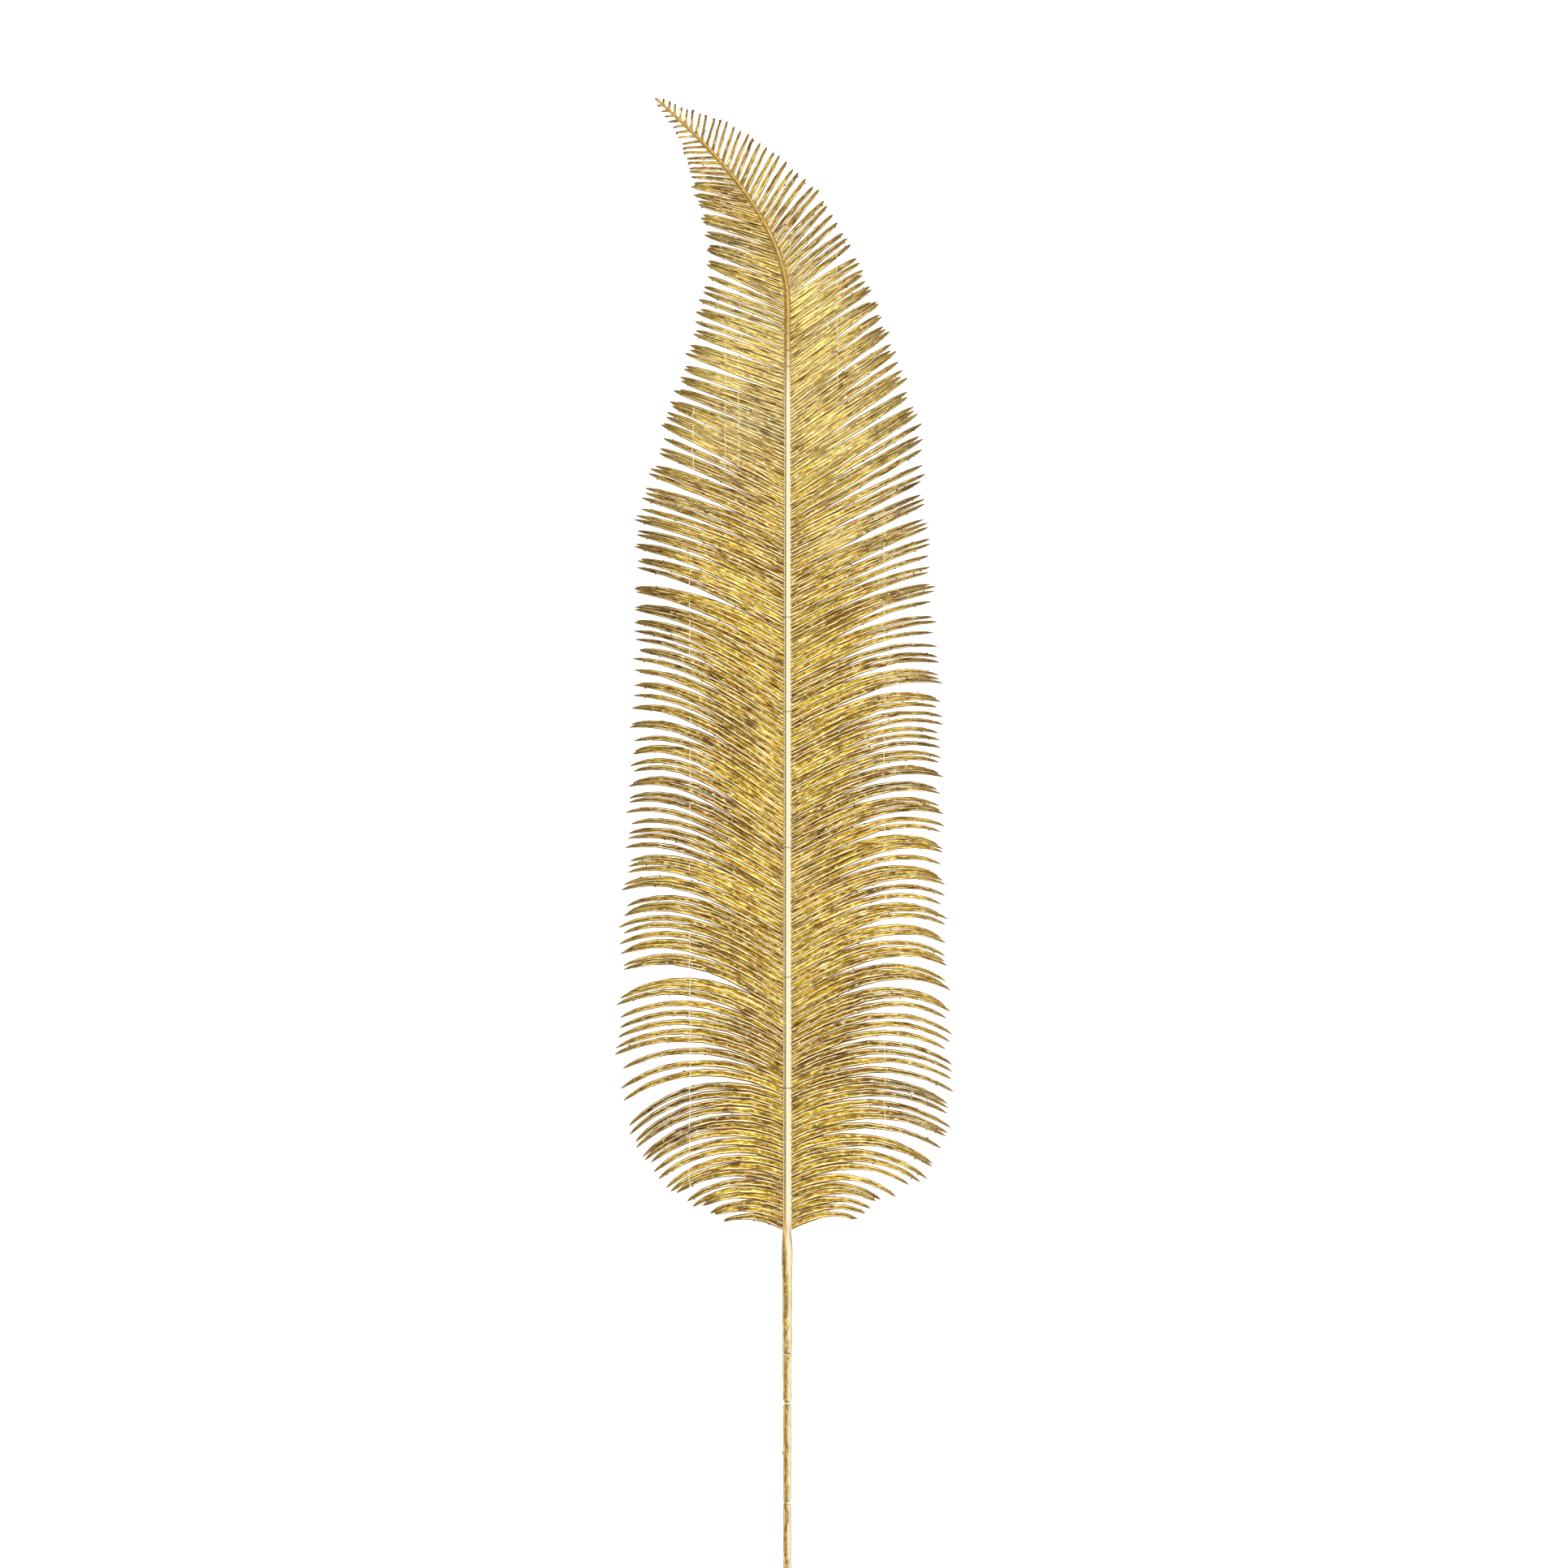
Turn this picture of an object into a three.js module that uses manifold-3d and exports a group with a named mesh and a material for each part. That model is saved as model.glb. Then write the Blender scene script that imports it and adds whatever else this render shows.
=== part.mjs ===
// A gilded cycad leaf on a wired stem, lying face up on a table.
//
// One moulding carries the midrib, its leaflets and the round leaf stalk. The stalk's lower end is
// a socket, and the stem cover's spigot is pushed into it. A steel wire runs through the cover and
// the stalk and on inside the midrib, where it keeps the leaf straight.
//
// Millimetres. +Y runs along the midrib towards the tip, +X to the right of the leaf's face and +Z
// up from the table. The origin is on the table, in the flat spot under the stalk's swelling, and
// the blade starts BLADE_START further on, where its base is. Lengths are counted from that base.
import * as THREE from "three";
import { mergeVertices } from "three/addons/utils/BufferGeometryUtils.js";
import Module from "manifold-3d";

const wasm = await Module();
wasm.setup();

const BLADE_START = 15;

// Midrib: its run from the blade's start to the tip, and the bend of its last stretch to the left
const RIB_LENGTH = 726;
const RIB_BEND_START = 570;
const RIB_BEND_TURN = THREE.MathUtils.degToRad(56);
const RIB_BEND_RUN = 75;
const RIB_ARCH_HEIGHT = 9;
const RIB_STEP = 22;
// [distance from the base, width, depth]
const RIB_SECTIONS = [
  [0, 5.2, 4.6],
  [180, 4.7, 4.3],
  [380, 4.3, 4.0],
  [530, 3.7, 3.4],
  [660, 2.9, 2.4],
  [726, 1.2, 1.1],
];
// Right half of the midrib's section, in shares of its width and depth, from the flat back up
const RIB_HALF_SECTION = [
  [0.3, -0.5],
  [0.5, -0.22],
  [0.5, 0.16],
  [0.36, 0.32],
  [0.22, 0.36],
  [0.16, 0.5],
];

// Stalk, stem cover and wire: one straight axis, at the height of the stalk's greatest radius
const AXIS_HEIGHT = 3.45;
const STALK_END = -76;
// [distance from the blade's start, radius] of the stalk, whose widest stretch rests on the table
const STALK_SECTIONS = [
  [STALK_END, 2.95],
  [-34, 3.05],
  [-18, 3.45],
  [-8, 3.45],
];
const SOCKET_RADIUS = 2.2;
const SOCKET_DEPTH = 18;
const CLEARANCE = 0.3;
const CUT_PAST = 1;
const COVER_END = -220;
const COVER_TOP_RADIUS = 2.9;
const COVER_END_RADIUS = 2.5;
const COVER_CHAMFER = 0.5;
const COVER_WAISTS = [-106.5, -168.5];
const WAIST_RADIUS = 2.0;
const WAIST_RUN = 2.4;
const WIRE_RADIUS = 0.8;
const WIRE_END = -223;
const WIRE_TIP = 430;
const ROUND_SIDES = 12;

// Leaflets: how far apart they leave the midrib, and the form of one blade
const LEAFLET_PITCH = 4.6;
const FIRST_LEAFLET = 1.5;
const LAST_LEAFLET = 719;
const ROOT_WIDTH = 2.9;
const TIP_WIDTH = 1.8;
const DEPTH_SHARE = 0.42;
const ROOT_SUNK = 1.0;
const FULL_RINGS = [0, 0.32, 0.6, 0.84];
const FEW_RINGS = [0, 0.5, 0.84];
const STRAIGHT_WITHIN = 4;
const ARCH_SHARE = 0.06;
// The blade rests on one leaflet a side; the other tips end this far above the table
const RESTING_LEAFLET = 68;
const TIP_LIFT = 1.0;
const SHORT_LEAFLET = 40;
const CURVE_STEPS = 24;
// One row per station: [distance from the base, length, leaving angle, tip angle, bend power].
// Angles are above the midrib's normal, in degrees. A leaflet turns from the leaving angle to the
// tip angle as its share of length raised to the bend power.
const RIGHT_LEAFLETS = [
  [0, 43, 32, -22, 1.2],
  [20, 60, 28, -38, 1.2],
  [35, 88, 29, -38, 1.1],
  [60, 103, 30, -34, 1],
  [85, 104, 28, -34, 1.2],
  [125, 105, 31, -36, 1.9],
  [205, 99.5, 28, -26, 2.5],
  [322, 98, 27, -14, 2.5],
  [350, 96, 29, 6, 2],
  [415, 92, 26, 26, 1],
  [450, 94, 31, 31, 1],
  [511, 74, 36, 36, 1],
  [577, 48, 33, 31, 1],
  [610, 42, 28, 27, 1],
  [675, 22.5, 31, 30, 1],
  [700, 11, 39, 38, 1],
  [726, 2.5, 38, 38, 1],
];
const LEFT_LEAFLETS = [
  [0, 38, 30, -22, 1.2],
  [18, 56, 24, -36, 1.1],
  [31, 73, 24, -42, 1],
  [63, 97, 30, -44, 0.9],
  [75, 102, 28, -46, 1],
  [97, 108, 31, -30, 1.2],
  [126, 109, 35, -27, 1.5],
  [172, 107, 30, -28, 2.5],
  [204, 104.5, 29, -16, 3],
  [251, 106, 36, -22, 3],
  [297, 102.5, 34, 2, 2.6],
  [361, 99, 29, 6, 2],
  [412, 97, 27, 14, 1],
  [458, 83, 27, 25, 1],
  [509, 66.5, 19, 19, 1],
  [562, 54.5, 21, 21, 1],
  [627, 41, 46, 46, 1],
  [666, 22, 43, 42, 1],
  [692, 10.5, 39, 39, 1],
  [726, 2.5, 40, 40, 1],
];
// Where the leaflets part into tufts: [distance from the base, how far the tips stand apart]
const RIGHT_PARTINGS = [[48.6, 8], [335, 4], [347, 4], [378, 6], [432, 5]];
const LEFT_PARTINGS = [
  [24, 3], [80, 8], [91, 5], [133, 9], [219, 3], [263, 4], [276, 4], [289, 5],
  [306, 6], [319, 4], [368, 8], [450, 5],
];
const PARTING_REACH = 11;
const TUFT_PULL = 0.42;
const LENGTH_SPREAD = 0.05;
const TIP_SPREAD = 0.7;
const LARGEST_TUFT = 3;
const SHIFT_POWER = 1.6;
const SLIMMEST = 0.55;
const HEADING_STEP = 0.02;

// A repeatable draw between -0.5 and 0.5 for one leaflet
function draw(index, channel) {
  const value = Math.sin(index * 12.9898 + channel * 78.233) * 43758.5453;
  return value - Math.floor(value) - 0.5;
}

// The row at a distance from the base, worked out between the two rows around it
function between(rows, distance) {
  const next = rows.findIndex((row) => row[0] >= distance);
  if (next === 0) return rows[0];
  if (next < 0) return rows[rows.length - 1];
  const [low, high] = [rows[next - 1], rows[next]];
  const share = (distance - low[0]) / (high[0] - low[0]);
  return low.map((value, k) => value + (high[k] - value) * share);
}

// How far the midrib has turned to the left at a distance from the base
function heading(distance) {
  if (distance <= RIB_BEND_START) return 0;
  return RIB_BEND_TURN * (1 - Math.exp(-(distance - RIB_BEND_START) / RIB_BEND_RUN));
}

// The midrib's centre line, stepped out once at one point for each millimetre
const ribLine = [new THREE.Vector3(0, 0, 0)];
for (let s = 1; s <= RIB_LENGTH; s += 1) {
  const turn = heading(s - 0.5);
  const last = ribLine[ribLine.length - 1];
  ribLine.push(new THREE.Vector3(last.x - Math.sin(turn), last.y + Math.cos(turn), 0));
}

// The height of the midrib's centre: a low arch that ends at the height of the leaflets' tips
function ribHeight(distance) {
  if (distance <= 0) return AXIS_HEIGHT;
  const share = Math.min(distance / RIB_LENGTH, 1);
  const tipDepth = RIB_SECTIONS[RIB_SECTIONS.length - 1][2];
  const level = AXIS_HEIGHT + (tipDepth / 2 + TIP_LIFT - AXIS_HEIGHT) * share ** 2;
  return level + RIB_ARCH_HEIGHT * Math.sin(Math.PI * share) ** 2;
}

// The midrib's centre at a distance from the base, which is negative on the stalk
function ribPoint(distance) {
  if (distance <= 0) return new THREE.Vector3(0, distance, AXIS_HEIGHT);
  const whole = Math.min(Math.floor(distance), RIB_LENGTH - 1);
  const point = ribLine[whole].clone().lerp(ribLine[whole + 1], distance - whole);
  point.z = ribHeight(distance);
  return point;
}

// A closed skin over rings of points. A ring is counter-clockwise seen from the far end.
function skin(rings, tip) {
  const sides = rings[0].length;
  const positions = rings.flat().concat(tip ? [tip] : []);
  const faces = [];
  const at = (ring, side) => ring * sides + (side % sides);
  for (let ring = 0; ring + 1 < rings.length; ring += 1) {
    for (let side = 0; side < sides; side += 1) {
      const [a, b] = [at(ring, side), at(ring, side + 1)];
      const [c, d] = [at(ring + 1, side), at(ring + 1, side + 1)];
      faces.push(a, b, d, a, d, c);
    }
  }
  const last = rings.length - 1;
  for (let side = 1; side + 1 < sides; side += 1) {
    faces.push(at(0, 0), at(0, side + 1), at(0, side));
    if (!tip) faces.push(at(last, 0), at(last, side), at(last, side + 1));
  }
  if (tip) {
    for (let side = 0; side < sides; side += 1) {
      faces.push(at(last, side), at(last, side + 1), positions.length - 1);
    }
  }
  const geometry = new THREE.BufferGeometry().setFromPoints(positions);
  return geometry.setIndex(faces);
}

// A regular ring of half-width radius round a point, square to the XY heading, flat side down
function roundRing(centre, turn, radius) {
  const corner = radius / Math.cos(Math.PI / ROUND_SIDES);
  return Array.from({ length: ROUND_SIDES }, (_, side) => {
    const angle = ((side + 0.5) * 2 * Math.PI) / ROUND_SIDES - Math.PI / 2;
    const across = corner * Math.cos(angle);
    return new THREE.Vector3(
      centre.x + across * Math.cos(turn),
      centre.y + across * Math.sin(turn),
      centre.z + corner * Math.sin(angle),
    );
  }).reverse();
}

// The midrib's ring at a distance from the base: flat back, full sides and a raised top ridge
function ribRing(distance) {
  const [, width, depth] = between(RIB_SECTIONS, distance);
  const centre = ribPoint(distance);
  const turn = heading(distance);
  const left = RIB_HALF_SECTION.map(([x, z]) => [-x, z]).reverse();
  return RIB_HALF_SECTION.concat(left).map(([x, z]) => new THREE.Vector3(
    centre.x + x * width * Math.cos(turn),
    centre.y + x * width * Math.sin(turn),
    centre.z + z * depth,
  )).reverse();
}

// Distances from one end to the other in steps no longer than the one given
function steps(from, to, step) {
  const count = Math.ceil(Math.abs(to - from) / step);
  return Array.from({ length: count + 1 }, (_, k) => from + ((to - from) * k) / count);
}

function midribAndStalk() {
  const stalk = STALK_SECTIONS.map(([y, radius]) => roundRing(ribPoint(y), 0, radius));
  return skin(stalk.concat(steps(0, RIB_LENGTH, RIB_STEP).map(ribRing)));
}

// The round passage for the wire, and the wider socket that takes the cover's spigot
function wireRings(from, to, radius) {
  const straight = [from, 0].map((y) => ribPoint(y));
  const inRib = steps(0, to, RIB_STEP).slice(1).map(ribPoint);
  return straight.concat(inRib).map((centre) => roundRing(centre, 0, radius));
}

function wirePassage() {
  return skin(wireRings(STALK_END - CUT_PAST, WIRE_TIP + CUT_PAST, WIRE_RADIUS + CLEARANCE));
}

function socket() {
  const ends = [STALK_END - CUT_PAST, STALK_END + SOCKET_DEPTH];
  return skin(ends.map((y) => roundRing(ribPoint(y), 0, SOCKET_RADIUS)));
}

// Tufts of one to three leaflets whose tips draw together: each leaflet's shift, in pitches
function tuftShifts(count, side) {
  const shifts = [];
  while (shifts.length < count) {
    const size = 1 + Math.floor((draw(shifts.length, 4 + side) + 0.5) * LARGEST_TUFT);
    for (let member = 0; member < size; member += 1) {
      shifts.push(((size - 1) / 2 - member) * TUFT_PULL);
    }
  }
  return shifts;
}

// How far the partings push a tip along the midrib, up above a parting and down below it
function partingShift(partings, distance) {
  return partings.reduce((sum, [at, opening]) => {
    const away = distance - at;
    return sum + (Math.sign(away) * opening * Math.exp(-Math.abs(away) / PARTING_REACH)) / 2;
  }, 0);
}

// One leaflet: a blade with a flat back and a ridge along its face, sunk in the midrib's side
function leaflet(side, index, distance, rows, partings, tuft) {
  const [, fullLength, leaving, tipAngle, power] = between(rows, distance);
  const seed = index + (side > 0 ? 0 : 500);
  const length = fullLength * (1 + LENGTH_SPREAD * draw(seed, 1));
  const grown = Math.min(1, length / SHORT_LEAFLET);
  const slimness = SLIMMEST + (1 - SLIMMEST) * grown;
  const shift = (partingShift(partings, distance) + tuft * LEAFLET_PITCH
    + TIP_SPREAD * draw(seed, 2)) * grown;
  const turn = heading(distance);
  const out = new THREE.Vector3(side * Math.cos(turn), side * Math.sin(turn), 0);
  const ahead = new THREE.Vector3(-Math.sin(turn), Math.cos(turn), 0);
  const [, ribWidth] = between(RIB_SECTIONS, distance);
  const root = ribPoint(distance).addScaledVector(out, ribWidth / 2 - ROOT_SUNK);
  const arch = ARCH_SHARE * length;
  const level = root.z;
  const tipLevel = index === RESTING_LEAFLET ? 0 : TIP_LIFT;
  const point = (share) => {
    const at = root.clone();
    for (let k = 0; k < CURVE_STEPS; k += 1) {
      const u = ((k + 0.5) / CURVE_STEPS) * share;
      const angle = THREE.MathUtils.degToRad(leaving + (tipAngle - leaving) * u ** power);
      at.addScaledVector(out, (Math.cos(angle) * length * share) / CURVE_STEPS);
      at.addScaledVector(ahead, (Math.sin(angle) * length * share) / CURVE_STEPS);
    }
    at.addScaledVector(ahead, shift * share ** SHIFT_POWER);
    at.z = level + (tipLevel - level) * share ** 2 + 4 * arch * share * (1 - share);
    return at;
  };
  const shares = Math.abs(tipAngle - leaving) < STRAIGHT_WITHIN ? FEW_RINGS : FULL_RINGS;
  const rings = shares.map((share) => {
    // The root's ring is parallel to the next one, so that the faces that meet the midrib are flat
    const facing = Math.max(share, shares[1]);
    const along = point(facing + HEADING_STEP).sub(point(facing - HEADING_STEP)).setZ(0).normalize();
    const across = new THREE.Vector3(along.y, -along.x, 0);
    const half = ((ROOT_WIDTH + (TIP_WIDTH - ROOT_WIDTH) * share) * slimness) / 2;
    const back = point(share).setZ(point(share).z - half * DEPTH_SHARE);
    return [
      back.clone().addScaledVector(across, half),
      back.clone().addScaledVector(across, -half),
      back.clone().setZ(back.z + 2 * half * DEPTH_SHARE),
    ];
  });
  return skin(rings, point(1));
}

// A closed geometry as a solid
function solid(geometry) {
  const bare = new THREE.BufferGeometry().setAttribute("position", geometry.getAttribute("position"));
  const merged = mergeVertices(geometry.index ? bare.setIndex(geometry.index) : bare);
  return new wasm.Manifold(new wasm.Mesh({
    numProp: 3,
    vertProperties: new Float32Array(merged.getAttribute("position").array),
    triVerts: new Uint32Array(merged.index.array),
  }));
}

// A solid back as a geometry
function geometryOf(made) {
  const mesh = made.getMesh();
  return new THREE.BufferGeometry()
    .setAttribute("position", new THREE.BufferAttribute(mesh.vertProperties, 3))
    .setIndex(new THREE.BufferAttribute(mesh.triVerts, 1));
}

// The whole moulding: midrib, stalk and both rows of leaflets, with the wire's passage cut out
function frondGeometry() {
  const distances = steps(FIRST_LEAFLET, LAST_LEAFLET, LEAFLET_PITCH);
  const blades = [[1, RIGHT_LEAFLETS, RIGHT_PARTINGS], [-1, LEFT_LEAFLETS, LEFT_PARTINGS]]
    .flatMap(([side, rows, partings]) => {
      const shifts = tuftShifts(distances.length, side);
      return distances.map((distance, index) => (
        solid(leaflet(side, index, distance, rows, partings, shifts[index]))
      ));
    });
  return geometryOf(
    wasm.Manifold.union([solid(midribAndStalk()), ...blades])
      .subtract(solid(wirePassage()))
      .subtract(solid(socket())),
  );
}

// The stem cover: a tube turned about +Y, narrowed at its waists, with a spigot at its top
function stemCoverGeometry() {
  const top = STALK_END - CLEARANCE;
  const bore = WIRE_RADIUS + CLEARANCE;
  const spigot = SOCKET_RADIUS - CLEARANCE;
  const outside = (y) => (
    COVER_TOP_RADIUS + ((COVER_END_RADIUS - COVER_TOP_RADIUS) * (top - y)) / (top - COVER_END)
  );
  const waist = (y) => [
    [outside(y), y - WAIST_RUN],
    [WAIST_RADIUS, y - WAIST_RUN / 3],
    [WAIST_RADIUS, y + WAIST_RUN / 3],
    [outside(y), y + WAIST_RUN],
  ];
  const profile = [
    [bore, COVER_END],
    [COVER_END_RADIUS - COVER_CHAMFER, COVER_END],
    [COVER_END_RADIUS, COVER_END + COVER_CHAMFER],
    ...waist(COVER_WAISTS[1]),
    ...waist(COVER_WAISTS[0]),
    [COVER_TOP_RADIUS, top - COVER_CHAMFER],
    [COVER_TOP_RADIUS - COVER_CHAMFER, top],
    [spigot, top],
    [spigot, STALK_END + SOCKET_DEPTH - CLEARANCE],
    [bore, STALK_END + SOCKET_DEPTH - CLEARANCE],
    [bore, COVER_END],
  ];
  const corner = 1 / Math.cos(Math.PI / ROUND_SIDES);
  const points = profile.map(([radius, y]) => new THREE.Vector2(radius * corner, y));
  const turned = new THREE.LatheGeometry(points, ROUND_SIDES);
  turned.rotateY(Math.PI / ROUND_SIDES);
  return turned.translate(0, 0, AXIS_HEIGHT);
}

// The wire, straight in the stem and arched with the midrib
function wireGeometry() {
  return skin(wireRings(WIRE_END, WIRE_TIP, WIRE_RADIUS));
}

function piece(name, geometry, look) {
  const mesh = new THREE.Mesh(geometry, new THREE.MeshStandardMaterial(look));
  mesh.name = name;
  return mesh;
}

const GOLD = { color: 0xc9a13c, roughness: 0.38, metalness: 0.85 };
const STEEL = { color: 0x8f9092, roughness: 0.45, metalness: 1 };

const leaf = new THREE.Group();
leaf.position.y = BLADE_START;
leaf.add(
  piece("frond", frondGeometry(), GOLD),
  piece("stem_cover", stemCoverGeometry(), GOLD),
  piece("core_wire", wireGeometry(), STEEL),
);

export default leaf;
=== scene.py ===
"""The looks of a gilded cycad leaf on a wired stem, lying face up on a pale floor. Metres.

+Y runs along the midrib towards the tip, +X to the right of the leaf's face and +Z up. Distances
along the leaf are counted from the base of its blade, BLADE_START past the frame's origin.
"""

import logging
from dataclasses import dataclass, field
from enum import Enum, IntEnum

import bpy
import numpy as np
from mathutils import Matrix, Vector


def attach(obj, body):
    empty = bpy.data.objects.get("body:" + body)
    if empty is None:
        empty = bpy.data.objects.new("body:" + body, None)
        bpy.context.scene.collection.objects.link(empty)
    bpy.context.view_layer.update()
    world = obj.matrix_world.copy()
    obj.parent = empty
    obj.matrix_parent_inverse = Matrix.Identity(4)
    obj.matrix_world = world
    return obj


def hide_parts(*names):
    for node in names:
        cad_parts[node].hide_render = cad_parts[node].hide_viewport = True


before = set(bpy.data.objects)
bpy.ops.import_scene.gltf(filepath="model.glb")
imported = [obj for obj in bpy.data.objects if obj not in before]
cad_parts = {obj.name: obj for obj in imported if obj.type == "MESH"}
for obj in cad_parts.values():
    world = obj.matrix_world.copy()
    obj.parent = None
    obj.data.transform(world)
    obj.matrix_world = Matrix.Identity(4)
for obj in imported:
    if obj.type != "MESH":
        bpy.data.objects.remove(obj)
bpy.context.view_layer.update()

MM = 0.001
BLADE_START = 15 * MM
# Steps between a sine's angles, for draws and for noise, and how much the sine is then spread
INDEX_STEP = 12.9898
CHANNEL_STEP = 78.233
LATTICE_STEPS = np.array([127.1, 311.7, 74.7])
SEED_STEP = 19.19
SPREAD = 43758.5453
# A colour ramp's positions and sRGB hex colours, and values in a material by name
Stops = tuple[tuple[float, str], ...]
Sockets = dict[str, bpy.types.NodeSocket]
log = logging.getLogger("cycad_leaf")


class Side(Enum):
    """The two rows of leaflets, by the sign of X that they grow towards."""

    RIGHT = 1
    LEFT = -1


class Channel(IntEnum):
    """What is drawn for a leaflet. Tufts add their side's sign, and bars their line's number."""

    LENGTH = 1
    TIP = 2
    TUFT = 4
    ROLL = 7
    TONE = 9
    THORN_PLACE = 11
    THORN = 13
    BAR = 15
    WAVER = 17
    WIDTH = 23
    BAR_PLACE = 35


def draw(index: np.ndarray, channel: int) -> np.ndarray:
    """A repeatable draw between -0.5 and 0.5: what is left after the point of a large sine.

    Args:
        index: the number of each leaflet, or of each of its parts.
        channel: which of a leaflet's draws this is.

    Returns:
        One value for each number.
    """
    value = np.sin(index * INDEX_STEP + channel * CHANNEL_STEP) * SPREAD
    return value - np.floor(value) - 0.5


def smooth_step(value: np.ndarray, low: float, high: float) -> np.ndarray:
    """A share that eases from 0 at the low value to 1 at the high one by a cubic."""
    share = np.clip((value - low) / (high - low), 0, 1)
    return share * share * (3 - 2 * share)


def lattice_noise(points: np.ndarray, size: float, seed: int) -> np.ndarray:
    """Smooth noise from -1 to 1: random values on a cubic lattice, eased between its corners.

    Args:
        points: places, with X, Y and Z last.
        size: the lattice's spacing in metres.
        seed: which noise this is.

    Returns:
        One value for each place.
    """
    scaled = points / size
    cell = np.floor(scaled)
    ease = scaled - cell
    ease = ease * ease * (3 - 2 * ease)
    total = np.zeros(points.shape[:-1])
    for corner in np.ndindex(2, 2, 2):
        offset = np.array(corner)
        at = (cell + offset) @ LATTICE_STEPS + seed * SEED_STEP
        value = np.sin(at) * SPREAD
        weight = np.prod(np.where(offset, ease, 1 - ease), axis=-1)
        total = total + weight * (2 * (value - np.floor(value)) - 1)
    return total


@dataclass
class Shell:
    """Closed skins: their points, their faces by number of corners, and a value of each mark."""

    points: np.ndarray
    faces: list[np.ndarray]
    marks: dict[str, np.ndarray]
    crisp_angle: float = float(np.radians(58))

    def joined(self, other: "Shell") -> "Shell":
        """This shell and another in one; a mark that one of them lacks is 0 there.

        Args:
            other: the shell to add.

        Returns:
            A new shell.
        """
        start = len(self.points)
        names = {**self.marks, **other.marks}
        marks = {
            name: np.concatenate([
                self.marks.get(name, np.zeros(start)),
                other.marks.get(name, np.zeros(len(other.points))),
            ])
            for name in names
        }
        faces = self.faces + [corners + start for corners in other.faces]
        return Shell(np.concatenate([self.points, other.points]), faces, marks)

    def made(self, name: str, look: bpy.types.Material) -> bpy.types.Object:
        """Puts the shell into the scene as a mesh object at the origin, smooth but at crisp edges.

        Args:
            name: the piece's name.
            look: its material.

        Returns:
            The new object.
        """
        mesh = bpy.data.meshes.new(name)
        faces = [corners for group in self.faces for corners in group.tolist()]
        mesh.from_pydata(self.points.tolist(), [], faces)
        mesh.polygons.foreach_set("use_smooth", np.ones(len(faces), dtype=bool))
        for mark, values in self.marks.items():
            layer = mesh.attributes.new(mark, "FLOAT", "POINT")
            layer.data.foreach_set("value", values.astype(np.float32))
        mesh.set_sharp_from_angle(angle=self.crisp_angle)
        mesh.materials.append(look)
        mesh.update()
        piece = bpy.data.objects.new(name, mesh)
        bpy.context.scene.collection.objects.link(piece)
        return piece


def lofted(rings: np.ndarray, marks: dict[str, np.ndarray], looped: bool = False) -> Shell:
    """Skins over rows of rings: quads between neighbouring rings and a flat cap at each end.

    Args:
        rings: places by skin, ring and corner, where a ring turns right-handed about its row.
        marks: values that spread over the same skins, rings and corners.
        looped: joins the last ring to the first in place of the caps.

    Returns:
        The closed shell.
    """
    skins, count, sides = rings.shape[:3]
    here = np.arange(skins * count * sides).reshape(skins, count, sides)
    after = np.roll(here, -1, axis=2)
    caps = [] if looped else [np.concatenate([here[:, 0, ::-1], here[:, -1]])]
    if looped:
        here, after = (np.concatenate([side, side[:, :1]], axis=1) for side in (here, after))
    quads = np.stack([here[:, :-1], after[:, :-1], after[:, 1:], here[:, 1:]], axis=-1)
    spread = {name: np.broadcast_to(v, rings.shape[:3]).ravel() for name, v in marks.items()}
    return Shell(rings.reshape(-1, 3), [quads.reshape(-1, 4), *caps], spread)


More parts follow.
